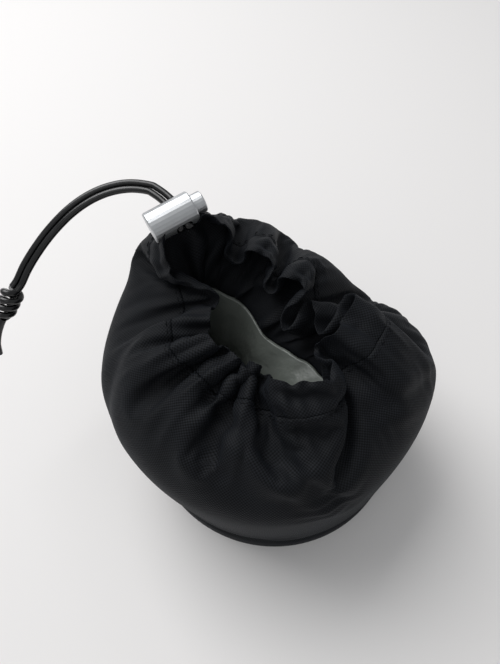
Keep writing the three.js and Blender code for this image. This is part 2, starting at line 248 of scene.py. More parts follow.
def activate(obj: bpy.types.Object) -> None:
    """Makes one object the selected and active one."""
    deselect()
    obj.select_set(True)
    bpy.context.view_layer.objects.active = obj


def add_object(name: str, data: bpy.types.ID) -> bpy.types.Object:
    """Puts a mesh, curve, lamp or camera into the scene as an object at the origin."""
    obj = bpy.data.objects.new(name, data)
    bpy.context.scene.collection.objects.link(obj)
    return obj


def shade_smooth(obj: bpy.types.Object) -> None:
    """Shades a mesh smooth all over."""
    obj.data.polygons.foreach_set("use_smooth", [True] * len(obj.data.polygons))


def grid_object(
    name: str, points: Points, cloth: Points, wraps: bool, inward: bool
) -> bpy.types.Object:
    """Makes a sheet from a grid of points.

    Args:
        name: The object's name.
        points: Rows by columns by 3, in millimetres.
        cloth: Rows by columns by 2, each point's place on the flat cloth in millimetres.
        wraps: Whether the last column joins the first.
        inward: Whether the faces look at the pouch's axis.

    Returns:
        The object, in metres, with the flat cloth as its UV map.
    """
    rows, columns = points.shape[:2]
    faces = []
    corners = []
    for r in range(rows - 1):
        for c in range(columns if wraps else columns - 1):
            d = (c + 1) % columns
            face = [(r, c, c), (r, d, c + 1), (r + 1, d, c + 1), (r + 1, c, c)]
            if inward:
                face.reverse()
            faces.append([a * columns + b for a, b, _ in face])
            for a, _, e in face:
                u = cloth[a, e, 0] if e < columns else 2 * cloth[a, -1, 0] - cloth[a, -2, 0]
                corners.extend((u * UV_SCALE, cloth[a, min(e, columns - 1), 1] * UV_SCALE))
    mesh = bpy.data.meshes.new(name)
    mesh.from_pydata((points.reshape(-1, 3) * MM).tolist(), [], faces)
    mesh.uv_layers.new(name="cloth").data.foreach_set("uv", corners)
    obj = add_object(name, mesh)
    shade_smooth(obj)
    return obj


def thicken(obj: bpy.types.Object, thickness: float, levels: int, offset: float = -1.0) -> None:
    """Gives a sheet its thickness and rounds it by subdivision.

    Args:
        obj: The sheet.
        thickness: Its thickness in millimetres.
        levels: How often it is subdivided.
        offset: Where the thickness goes: -1 behind the faces, 1 before them.
    """
    solid = obj.modifiers.new("Cloth thickness", "SOLIDIFY")
    solid.thickness = thickness * MM
    solid.offset = offset
    if levels:
        rounder = obj.modifiers.new("Rounding", "SUBSURF")
        rounder.levels = rounder.render_levels = levels
    activate(obj)
    for modifier in list(obj.modifiers):
        bpy.ops.object.modifier_apply(modifier=modifier.name)
    deselect()
    shade_smooth(obj)


def tube_object(
    name: str, route: Points, radius: float, sides: int = 5, shares: Points | None = None
) -> bpy.types.Object:
    """Makes a round cord as a curve with closed ends.

    Args:
        name: The object's name.
        route: The points of its middle line, in millimetres.
        radius: Its radius in millimetres.
        sides: Blender's bevel resolution.
        shares: The share of the radius at each point, where it isn't whole all along.

    Returns:
        The curve object.
    """
    curve = bpy.data.curves.new(name, "CURVE")
    curve.dimensions = "3D"
    curve.bevel_depth = radius * MM
    curve.bevel_resolution = sides
    curve.use_fill_caps = True
    spline = curve.splines.new("POLY")
    spline.points.add(len(route) - 1)
    for point, place in zip(spline.points, route * MM):
        point.co = (*place, 1.0)
    if shares is not None:
        spline.points.foreach_set("radius", np.asarray(shares, dtype=np.float32))
    spline.use_smooth = True
    return add_object(name, curve)


def to_mesh(obj: bpy.types.Object) -> bpy.types.Object:
    """Turns a curve object into a smooth mesh object with the same name."""
    activate(obj)
    bpy.ops.object.convert(target="MESH")
    deselect()
    shade_smooth(obj)
    return obj


def join(parts: list[bpy.types.Object], name: str) -> bpy.types.Object:
    """Joins mesh objects into one.

    Args:
        parts: The objects; the first takes in the others.
        name: The joined object's name.

    Returns:
        The joined object.
    """
    deselect()
    for part in parts:
        part.select_set(True)
    bpy.context.view_layer.objects.active = parts[0]
    bpy.ops.object.join()
    parts[0].name = parts[0].data.name = name
    deselect()
    return parts[0]


# ---------------------------------------------------------------------------------------------
# Finishes
# ---------------------------------------------------------------------------------------------


def linear(code: str) -> tuple[float, float, float, float]:
    """Turns an sRGB colour into the linear one that a shader reads.

    Args:
        code: The colour as six hex digits.

    Returns:
        Red, green, blue and full opacity, linear.
    """
    toe, toe_slope, lift, power = 0.04045, 12.92, 0.055, 2.4
    colour = []
    for value in bytes.fromhex(code):
        v = value / 255
        colour.append(v / toe_slope if v <= toe else ((v + lift) / (1 + lift)) ** power)
    return (*colour, 1.0)


def add_node(
    tree: bpy.types.NodeTree,
    kind: str,
    inputs: dict[int | str, object] | None = None,
    stops: tuple[tuple[float, str], ...] = (),
    **settings: object,
) -> bpy.types.Node:
    """Adds a node with its settings and links.

    Args:
        tree: The node tree.
        kind: The node's type, without the words that all types start with.
        inputs: What each input gets, by number or name: a value, or the socket that feeds it.
        stops: A colour ramp's positions and sRGB colours.
        **settings: The node's attributes.

    Returns:
        The new node.
    """
    node = tree.nodes.new("ShaderNode" + kind)
    for key, value in settings.items():
        setattr(node, key, value)
    for key, value in (inputs or {}).items():
        if isinstance(value, Socket):
            tree.links.new(value, node.inputs[key])
        else:
            node.inputs[key].default_value = value
    for i, (position, code) in enumerate(stops):
        element = node.color_ramp.elements[i]
        element.position = position
        element.color = linear(code)
    return node


@dataclass(frozen=True)
class Finish:
    """A material of one finish: the shader's plain values, a grain in height and patches of colour.

    Sizes are in millimetres. A finish without patches takes its colour from the grain.
    """

    name: str
    slot: str
    colour: str
    roughness: float
    stops: tuple[tuple[float, str], tuple[float, str]]
    grain: float
    depth: float
    patch: float | None = None
    grain_detail: float = 3.0
    patch_detail: float = 3.0
    dulling: float = 0.0
    polish: float = 0.0
    metallic: float = 0.0
    specular: float = 0.5
    sheen: float = 0.0
    sheen_roughness: float = 0.5
    sheen_tint: str = "ffffff"
    coat: float = 0.0
    coat_roughness: float = 0.03

    @cached_property
    def material(self) -> bpy.types.Material:
        """The finish's material, made once, when the first piece asks for it."""
        material = bpy.data.materials.new(self.name)
        material.use_nodes = True
        tree = material.node_tree
        shader = tree.nodes["Principled BSDF"]
        values = {
            "Base Color": linear(self.colour),
            "Roughness": self.roughness,
            "Metallic": self.metallic,
            "Specular IOR Level": self.specular,
            "Sheen Weight": self.sheen,
            "Sheen Roughness": self.sheen_roughness,
            "Sheen Tint": linear(self.sheen_tint),
            "Coat Weight": self.coat,
            "Coat Roughness": self.coat_roughness,
        }
        for key, value in values.items():
            shader.inputs[key].default_value = value
        height, tone = self.pattern(tree, add_node(tree, "TexCoord").outputs["Object"])
        bump = {"Strength": 1.0, "Distance": self.depth * MM, "Height": height}
        feeds = {
            "Normal": add_node(tree, "Bump", bump),
            "Base Color": add_node(tree, "ValToRGB", {0: tone}, self.stops),
        }
        if self.dulling:
            worn = {0: tone, 1: self.dulling, 2: self.roughness - self.polish}
            feeds["Roughness"] = add_node(tree, "Math", worn, operation="MULTIPLY_ADD")
        for key, node in feeds.items():
            tree.links.new(node.outputs[0], shader.inputs[key])
        return material

    def pattern(self, tree: bpy.types.NodeTree, place: Socket) -> tuple[Socket, Socket]:
        """Adds the finish's pattern.

        Args:
            tree: The material's node tree.
            place: The socket of the object's own coordinates.

        Returns:
            The sockets of its height and of its tone, from 0 to 1.
        """
        grain = {0: place, "Scale": 1 / (self.grain * MM), "Detail": self.grain_detail}
        height = tone = add_node(tree, "TexNoise", grain).outputs[0]
        if self.patch is not None:
            patches = {0: place, "Scale": 1 / (self.patch * MM), "Detail": self.patch_detail}
            tone = add_node(tree, "TexNoise", patches).outputs[0]
        return height, tone


@dataclass(frozen=True)
class WovenNylon(Finish):
    """Plain-weave nylon, whose grain is threads over and under each other on the flat cloth."""

    unevenness: float = 0.5

    def pattern(self, tree: bpy.types.NodeTree, place: Socket) -> tuple[Socket, Socket]:
        """Adds the weave from the cloth's UV map, whose height also paints shade into the hollows
        between threads and a lighter grey onto their knuckles, and a faint unevenness of its tone.

        Args:
            tree: The material's node tree.
            place: The socket of the object's own coordinates.

        Returns:
            The sockets of its height and of its tone, from 0 to 1.
        """
        cloth = add_node(tree, "UVMap", uv_map="cloth").outputs[0]
        split = add_node(tree, "SeparateXYZ", {0: cloth})
        pitch = math.pi / UV_SCALE / self.grain
        threads = []
        for axis in (0, 1):
            along = add_node(tree, "Math", {0: split.outputs[axis], 1: pitch}, operation="MULTIPLY")
            wave = add_node(tree, "Math", {0: along.outputs[0]}, operation="SINE")
            threads.append(wave.outputs[0])
        cross = add_node(tree, "Math", {0: threads[0], 1: threads[1]}, operation="MULTIPLY")
        lifted = {0: cross.outputs[0], 1: 0.5, 2: 0.5}
        height = add_node(tree, "Math", lifted, operation="MULTIPLY_ADD").outputs[0]
        patches = {0: place, "Scale": 1 / (self.patch * MM), "Detail": self.patch_detail}
        patch = add_node(tree, "TexNoise", patches).outputs[0]
        centred = {0: patch, 1: self.unevenness, 2: -self.unevenness / 2}
        uneven = add_node(tree, "Math", centred, operation="MULTIPLY_ADD").outputs[0]
        # The weave's height sets the tone: painted shade in the hollows between threads, a painted
        # lighter grey on the knuckles; the unevenness is the cloth's own.
        tone = add_node(tree, "Math", {0: height, 1: uneven}, operation="ADD", use_clamp=True)
        return height, tone.outputs[0]


# Plain-weave nylon, piece dyed black, with a faint cool grey sheen. Its ramp paints shade into the
# hollows between threads and a lighter cool grey onto the knuckles. The
#  threads are 0.55 mm apart, the coarse spacing that can be seen on the real one.
SHELL = WovenNylon(
    "Plain weave nylon", "shell_nylon", "121316", 0.6, ((0.1, "08090a"), (0.95, "1f2125")),
    grain=0.55, depth=0.13, patch=18.0, specular=0.09,
    sheen=0.04, sheen_roughness=0.4, sheen_tint="8c98ac",
)
# Polyurethane-coated nylon: a pale grey film with soft crinkles and a low gloss.
LINING = Finish(
    "Coated lining", "coated_lining", "aeb2aa", 0.38, ((0.3, "606560"), (0.7, "6c716c")),
    grain=9.0, grain_detail=4.0, depth=1.2, patch=30.0, coat=0.15, coat_roughness=0.3,
)
# Solid rubber cord, extruded: smooth black with sharp long highlights, a faint ripple and dust.
RUBBER = Finish(
    "Extruded rubber", "rubber_cord", "0d0d0e", 0.24, ((0.3, "050506"), (0.8, "0c0c0e")),
    grain=2.5, grain_detail=2.0, depth=0.03, patch=6.0, dulling=0.25, polish=0.1, specular=0.55,
)
# Anodised aluminium, finely blasted: light grey metal with a wide soft highlight and handling wear.
ALUMINIUM = Finish(
    "Satin anodised aluminium", "satin_aluminium", "c4c6c8", 0.42,
    ((0.25, "c2c4c6"), (0.75, "d2d4d6")),
    grain=0.35, grain_detail=4.0, depth=0.012, patch=4.0, dulling=0.16, polish=0.08, metallic=1.0,
)
# Spring steel wire, drawn: bright grey with fine lines.
STEEL = Finish(
    "Drawn spring steel", "spring_steel", "a9acae", 0.35, ((0.3, "9b9ea0"), (0.7, "b4b7b9")),
    grain=0.3, depth=0.005, metallic=1.0,
)
# Spun polyester sewing thread: dull black with a soft fuzz.
THREAD = Finish(
    "Polyester thread", "sewing_thread", "101114", 0.7, ((0.3, "08080a"), (0.7, "18191c")),
    grain=0.25, depth=0.04, sheen=0.05, sheen_tint="8c98ac", specular=0.1,
)
# Woven binding tape: dull black.
TAPE = Finish(
    "Binding tape", "binding_tape", "1c1d20", 0.85, ((0.3, "141517"), (0.7, "242529")),
    grain=0.5, depth=0.08, sheen=0.2,
)
# Pressed fibre board: brown-grey with specks.
BOARD = Finish(
    "Fibre board", "stiff_board", "6b6258", 0.9, ((0.3, "5c544b"), (0.7, "786f64")),
    grain=0.8, depth=0.06,
)


class Body(Enum):
    """The bodies of the frame that new pieces ride on."""

    POUCH = "pouch"
    LOCK = "lock"


def dress(
    obj: bpy.types.Object, finish: Finish, node: str, body: Body = Body.POUCH
) -> bpy.types.Object:
    """Gives a finished piece its material and its body, and hides the CAD node it stands for.

    Args:
        obj: The piece.
        finish: Its finish.
        node: The CAD node.
        body: The body that it rides on.

    Returns:
        The piece.
    """
    obj.data.materials.clear()
    obj.data.materials.append(finish.material)
    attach(obj, body.value)
    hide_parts(node)
    return obj


def sew(
    name: str,
    points: Points,
    cloth: Points,
    finish: Finish,
    node: str,
    thickness: float,
    levels: int = 1,
    wraps: bool = True,
    inward: bool = False,
) -> bpy.types.Object:
    """Makes a piece of cloth from a grid of points, thickens it and dresses it.

    Args:
        name: The piece's name.
        points: Rows by columns by 3, in millimetres.
        cloth: Each point's place on the flat cloth in millimetres.
        finish: Its finish.
        node: The CAD node it stands for.
        thickness: Its thickness in millimetres.
        levels: How often it is subdivided.
        wraps: Whether the last column joins the first.
        inward: Whether the faces look at the pouch's axis.

    Returns:
        The piece.
    """
    sheet = grid_object(name, points, cloth, wraps, inward)
    thicken(sheet, thickness, levels)
    return dress(sheet, finish, node)


# ---------------------------------------------------------------------------------------------
# Camera
# ---------------------------------------------------------------------------------------------


@dataclass
class Viewpoint:
    """The camera: a phone held up in front of the pouch, looking 57 degrees below level."""

    lens: float = 27.1
    sensor: float = 36.0
    near: float = 0.01
    place: Point = (-0.0105, -0.097, 0.230)
    tilt: float = 33.0

    def build(self) -> None:
        """Makes the scene's camera."""
        data = bpy.data.cameras.new("Camera")
        data.lens = self.lens
        data.sensor_width = self.sensor
        data.clip_start = self.near
        obj = add_object("Camera", data)
        obj.location = self.place
        obj.rotation_euler = (math.radians(self.tilt), 0, 0)
        bpy.context.scene.camera = obj


# ---------------------------------------------------------------------------------------------
# Cord and knot
# ---------------------------------------------------------------------------------------------


@dataclass
class CordPair:
    """Two rubber strands side by side from the cord lock to the knot, and their cut ends.

    Sizes are in millimetres. The hidden stretch gets thinner between two steps of its route,
    counted from either end.
    """

    radius: float = 1.2
    spacing: float = 2.6
    bend: float = 28.0
    lock: Point = (-34.6, 27.8, 110.8)
    barrel_axis: Point = (0.8596017, 0.4823860, 0.1684894)
    bend_axis: Point = (-0.0268496, -0.2866491, 0.9576593)
    barrel_radius: float = 5.5
    gap: float = 0.3
    bend_end: float = 0.5
    bend_steps: int = 6
    per_span: int = 8
    pair_route: tuple[Point, ...] = (
        (-51.5, 38.6, 113.3),
        (-58.6, 38.1, 112.4),
        (-65.6, 36.2, 110.5),
        (-72.9, 32.9, 107.2),
        (-80.3, 28.2, 102.3),
        (-86.2, 23.4, 97.3),
        (-90.4, 19.3, 93.0),
        (-93.6, 15.7, 88.9),
    )
    knot_centre: Point = (-98.4, 10.6, 83.6)
    knot_axis: Point = (-0.53, -0.53, -0.66)
    knot_length: float = 12.0
    wrap_radius: float = 3.0
    wrap_turns: float = 2.0
    wrap_steps: int = 56
    wrap_ends: float = 0.16
    tails: tuple[tuple[Point, ...], ...] = (
        ((-106.1, 6.6, 75.6), (-109.4, 5.2, 71.0), (-111.6, 4.8, 66.0)),
        ((-103.3, 4.0, 75.2), (-105.2, 1.6, 70.4), (-106.2, 0.2, 65.4)),
    )
    hidden_steps: int = 5
    hidden_reach: float = 1.1
    hidden_per_span: int = 3
    hidden_sides: int = 2
    hidden_share: float = 0.42
    hidden_taper: tuple[float, float] = (13, 16)

    def __post_init__(self) -> None:
        """Works out the directions that the routes share."""
        self.barrel_way = np.array(self.barrel_axis)
        self.strand_way = unit(np.cross(self.bend_axis, self.barrel_axis))
        self.knot_way = unit(np.array(self.knot_axis))
        self.knot_middle = np.array(self.knot_centre)

    def bend_points(self, side: int, turns: Points) -> Points:
        """Points of a strand on its bend through the lock.

        Args:
            side: 1 for the outer strand, -1 for the inner.
            turns: How far round the bend each point is, in radians.

        Returns:
            The points in millimetres.
        """
        reach = self.bend + side * self.spacing / 2
        points = []
        for turn in turns:
            along = self.barrel_way * (reach * math.cos(turn) - self.bend)
            points.append(np.array(self.lock) + along + self.strand_way * reach * math.sin(turn))
        return np.array(points)

    def beside(self, points: Points, side: int) -> Points:
        """Moves a route sideways by half the strands' spacing.

        Args:
            points: The pair's middle line.
            side: 1 for the outer strand, -1 for the inner.

        Returns:
            The strand's middle line.
        """
        number = np.arange(len(points))
        before = points[np.maximum(number - 1, 0)]
        after = points[np.minimum(number + 1, len(points) - 1)]
        across = unit(np.cross(after - before, np.array(self.bend_axis)))
        return points + across * side * self.spacing / 2

    def strand_route(self, side: int) -> Points:
        """Smooth middle line of one strand from the lock to the knot.

        Args:
            side: 1 for the outer strand, -1 for the inner.

        Returns:
            The route in millimetres.
        """
        first = (self.barrel_radius + self.gap) / self.bend
        turns = np.linspace(first, self.bend_end, self.bend_steps)
        head = self.knot_middle - self.knot_way * (self.knot_length / 2 + self.gap)
        pair = np.vstack([np.array(self.pair_route), head])
        start = self.bend_points(side, turns)
        return smooth_route(np.vstack([start, self.beside(pair, side)]), self.per_span)

    def tail_route(self, side: int) -> Points:
        """Smooth middle line of one cut end below the knot.

        Args:
            side: 1 for the outer strand, -1 for the inner.

        Returns:
            The route in millimetres.
        """
        foot = self.knot_middle + self.knot_way * (self.knot_length / 2 + self.gap)
        start = self.beside(np.array([foot, foot + self.knot_way]), side)
        rest = np.array(self.tails[0 if side == 1 else 1])
        return smooth_route(np.vstack([start, rest]), self.per_span)

    def wrap_route(self, side: int) -> Points:
        """Path of one strand through the knot: in at the top, round the other strand and out.

        Args:
            side: 1 for the outer strand, -1 for the inner.

        Returns:
            The path in millimetres.
        """
        axis = self.knot_way
        across = self.beside(np.array([[0.0, 0, 0], axis]), 1)[0]
        across = unit(across - axis * (across @ axis))
        third = np.cross(axis, across)
        points = []
        for share in np.arange(self.wrap_steps + 1) / self.wrap_steps:
            close = ease(share, 1 - self.wrap_ends, 1.0)
            grow = float(ease(share, 0.0, self.wrap_ends) * (1 - close))
            reach = self.spacing / 2 + (self.wrap_radius - self.spacing / 2) * grow
            angle = (0 if side == 1 else math.pi) + share * self.wrap_turns * TAU
            climb = -self.knot_length / 2 + self.knot_length * share
            round_it = across * reach * math.cos(angle) + third * reach * math.sin(angle)
            points.append(self.knot_middle + axis * climb + round_it)
        return np.array(points)

    def build_hidden(self, middle: Points) -> list[bpy.types.Object]:
        """Makes the stretch in the lock and the channel.

        It is drawn thinner inside the channel, where it would come through the tight pleats.

        Args:
            middle: The channel's middle line, from one open end round to the other.

        Returns:
            The piece.
        """
        half = self.barrel_radius / self.bend
        turns = np.linspace(half, -half * self.hidden_reach, self.hidden_steps)
        ends = self.bend_points(-1, turns), self.bend_points(1, turns[::-1])
        route = smooth_route(np.vstack([ends[0], middle, ends[1]]), self.hidden_per_span)
        steps = np.arange(len(route))
        from_end = np.minimum(steps, steps[::-1])
        shares = np.interp(from_end, self.hidden_taper, (1.0, self.hidden_share))
        cord = to_mesh(tube_object("hidden_cord", route, self.radius, self.hidden_sides, shares))
        return [dress(cord, RUBBER, "channel_cord")]

    def build(self) -> list[bpy.types.Object]:
        """Returns:
            The pieces.
        """
        sides = (1, -1)
        wraps = [tube_object(f"wrap_{side}", self.wrap_route(side), self.radius) for side in sides]
        knot = dress(join([to_mesh(wrap) for wrap in wraps], "tied_knot"), RUBBER, "cord_knot")
        pieces = [knot]
        for side, name in zip(sides, ("outer", "inner")):
            tail = tube_object(f"tail_{name}", self.tail_route(side), self.radius)
            dress(tail, RUBBER, f"cord_tail_{name}")
            route = self.strand_route(side)
            strand = tube_object(f"strand_{name}", route, self.radius)
            dress(strand, RUBBER, f"cord_strand_{name}")
            pieces += [tail, strand]
        return pieces


# ---------------------------------------------------------------------------------------------
# Cord lock
# ---------------------------------------------------------------------------------------------


@dataclass
class CordLock:
    """The barrel cord lock, whose barrel and button keep their CAD shapes, and its spring.

    Sizes are in millimetres, along the barrel's axis from the middle of the lock.
    """

    cord: CordPair
    spring_low: float = -9.2
    spring_high: float = -5.5
    spring_radius: float = 2.7
    wire_radius: float = 0.2
    wire_sides: int = 2
    spring_turns: float = 3.0
    steps_per_turn: int = 28
    end_closing: float = 2.0
    stroke: float = 2.2
    spare: float = 0.1

    def build(self) -> list[bpy.types.Object]:
        """Gives the lock's metal and the board their materials, and winds the spring.

        The spring stands behind the button, wound at rest; on the real lock it shortens as the
        button is pressed.

        Returns:
            The pieces.
        """
        centre = np.array(self.cord.lock)
        axis = self.cord.barrel_way
        across = np.array(self.cord.bend_axis)
        steps = int(self.steps_per_turn * self.spring_turns) + 1
        turns = np.linspace(0, TAU * self.spring_turns, steps)[:, None]
        climb = ease(turns, -self.end_closing, turns[-1] + self.end_closing)
        height = self.spring_low + (self.spring_high - self.spring_low) * climb
        ring = across * np.cos(turns) + np.cross(axis, across) * np.sin(turns)
        coil = axis * height + self.spring_radius * ring
        spring = to_mesh(tube_object("lock_coil", centre + coil, self.wire_radius, self.wire_sides))
        dress(spring, STEEL, "lock_spring", Body.LOCK)
        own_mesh(spring)
        pieces = [spring]
        kept = {"lock_barrel": ALUMINIUM, "lock_plunger": ALUMINIUM, "base_board": BOARD}
        for node, finish in kept.items():
            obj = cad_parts[node]
            obj.data.materials.clear()
            obj.data.materials.append(finish.material)
            pieces.append(obj)
        return pieces


# ---------------------------------------------------------------------------------------------
# Cloth
# ---------------------------------------------------------------------------------------------


class FoldKind(Enum):
    """What the cloth does at a fold line of the gathered mouth."""

    HELD = "held"
    CREST = "crest"
    VALLEY = "valley"


# How far the rim arches up between a fold's foot and its tip, as a share of the greatest arch.
RIM_ARCH = {FoldKind.HELD: 0.6, FoldKind.CREST: 1.0, FoldKind.VALLEY: -0.3}


@dataclass(frozen=True)
class Fold:
    """One fold line: its place along the cloth's edge, its tip at the rim and its foot below."""

    kind: FoldKind
    along: float
    tip: Point
    foot: Point


@dataclass(frozen=True)
class Swell:
    """A place where the wall stands out or, below zero, in: degrees, millimetres and degrees."""

    turn: float
    by: float
    spread: float

    def at(self, turn: Points) -> Points:
        """How far the wall stands out at each turn in radians."""
        return self.by * bell(shortest(np.degrees(turn) - self.turn, 360), self.spread)


# The fuller front, the dent at the back right and the flatter front right of the widest ring.
RING_SWELLS = (Swell(268, 2.6, 34), Swell(50, -16.0, 30), Swell(322, -1.5, 22))
SHOULDER_DENT = Swell(60, -16.0, 22)


@dataclass
class ShellCloth:
    """The shell's flat cloth and the way it is gathered, and its relaxing to a natural shape.

    Sizes are in millimetres, and heights are measured on the flat cloth from the base seam.
    """

    girth: float = 361.0
    height: float = 117.0
    stitch_height: float = 104.0
    cord_height: float = 110.5
    foot_height: float = 92.0
    wide_height: float = 60.0
    columns: int = 180
    rows: int = 59
    base_radius: float = 57.5
    base_level: float = 1.1
    wide_level: float = 61.0
    wide_radius: float = 60.0
    side_reach: float = 4.1
    left_reach: float = 3.9
    belly_levels: tuple[float, float] = (6, 68)
    shoulder_rise: float = 22.0
    rim_arch: float = 4.0
    start_turn: float = 132.0
    calm_place: float = 222.0
    calm_spread: float = 42.0
    steps: int = 80
    quick_steps: int = 6
    folds: list[Fold] = field(default_factory=list)
    points: Points = field(default=None, repr=False)

    def __post_init__(self) -> None:
        """Works out the cloth's grid."""
        self.along = np.arange(self.columns) / self.columns * self.girth
        self.up = np.linspace(0, self.height, self.rows)
        self.across_step = self.girth / self.columns
        self.up_step = float(self.up[1])
        self.turn = math.radians(self.start_turn) + TAU * self.along / self.girth

    def row(self, height: float) -> int:
        """Number of the cloth's row nearest to a height."""
        return int(np.argmin(abs(self.up - height)))

    def column(self, along: float) -> int:
        """Number of the cloth's column nearest to a place along its edge."""
        return round(along / self.girth * self.columns) % self.columns

    def calm(self, along: Points) -> Points:
        """How far, 0 to 1, the cloth lies smooth at a place along its edge: the low shoulder."""
        return bell(along - self.calm_place, self.calm_spread)

    def round_the_cloth(self, places: list[float], points: list[Point]) -> Points:
        """Runs a smooth closed line through points given at places along the cloth's edge.

        Args:
            places: The places, rising.
            points: The point at each place.

        Returns:
            A point for each column.
        """
        lines = [
            round_the_edge(places, list(values), self.along, self.girth) for values in zip(*points)
        ]
        return np.stack(lines, 1)

    def loft(self) -> Points:
        """Makes the first shape: the base ring, the widest ring, the folds' feet and their tips.

        Returns:
            Rows by columns by 3.
        """
        places = [fold.along for fold in self.folds]
        tips = self.round_the_cloth(places, [fold.tip for fold in self.folds])
        feet = self.round_the_cloth(places, [fold.foot for fold in self.folds])
        arches = self.round_the_cloth(places, [(RIM_ARCH[fold.kind],) for fold in self.folds])
        ring = np.stack([np.cos(self.turn), np.sin(self.turn), 0 * self.turn], 1)
        right = np.cos(self.turn)
        wide = self.wide_radius + self.side_reach * right**2 - self.left_reach * right
        for swell in RING_SWELLS:
            wide = wide + swell.at(self.turn)
        level = np.minimum(feet[:, 2], self.wide_level + self.shoulder_rise)
        shoulder = ring * (wide + SHOULDER_DENT.at(self.turn))[:, None] + UP * level[:, None]

        def ring_at(level: float) -> Points:
            """The wall's ring at a level above the floor."""
            reach = self.base_radius + (wide - self.base_radius) * ease(level, *self.belly_levels)
            return ring * reach[:, None] + UP * level

        points = np.zeros((self.rows, self.columns, 3))
        for r, v in enumerate(self.up):
            if v <= self.wide_height:
                climb = (self.wide_level - self.base_level) * v / self.wide_height
                points[r] = ring_at(self.base_level + climb)
            elif v <= self.foot_height:
                t = (v - self.wide_height) / (self.foot_height - self.wide_height)
                points[r] = arch(t, ring_at(self.wide_level), shoulder, feet)
            else:
                t = (v - self.foot_height) / (self.height - self.foot_height)
                points[r] = arch(t, feet, (feet + tips) / 2 + UP * self.rim_arch * arches, tips)
        return points

    def build(self) -> None:
        """Lofts the folds and relaxes the cloth over them."""
        relaxer = ClothRelaxer(self, self.loft())
        self.points = relaxer.run(self.steps)


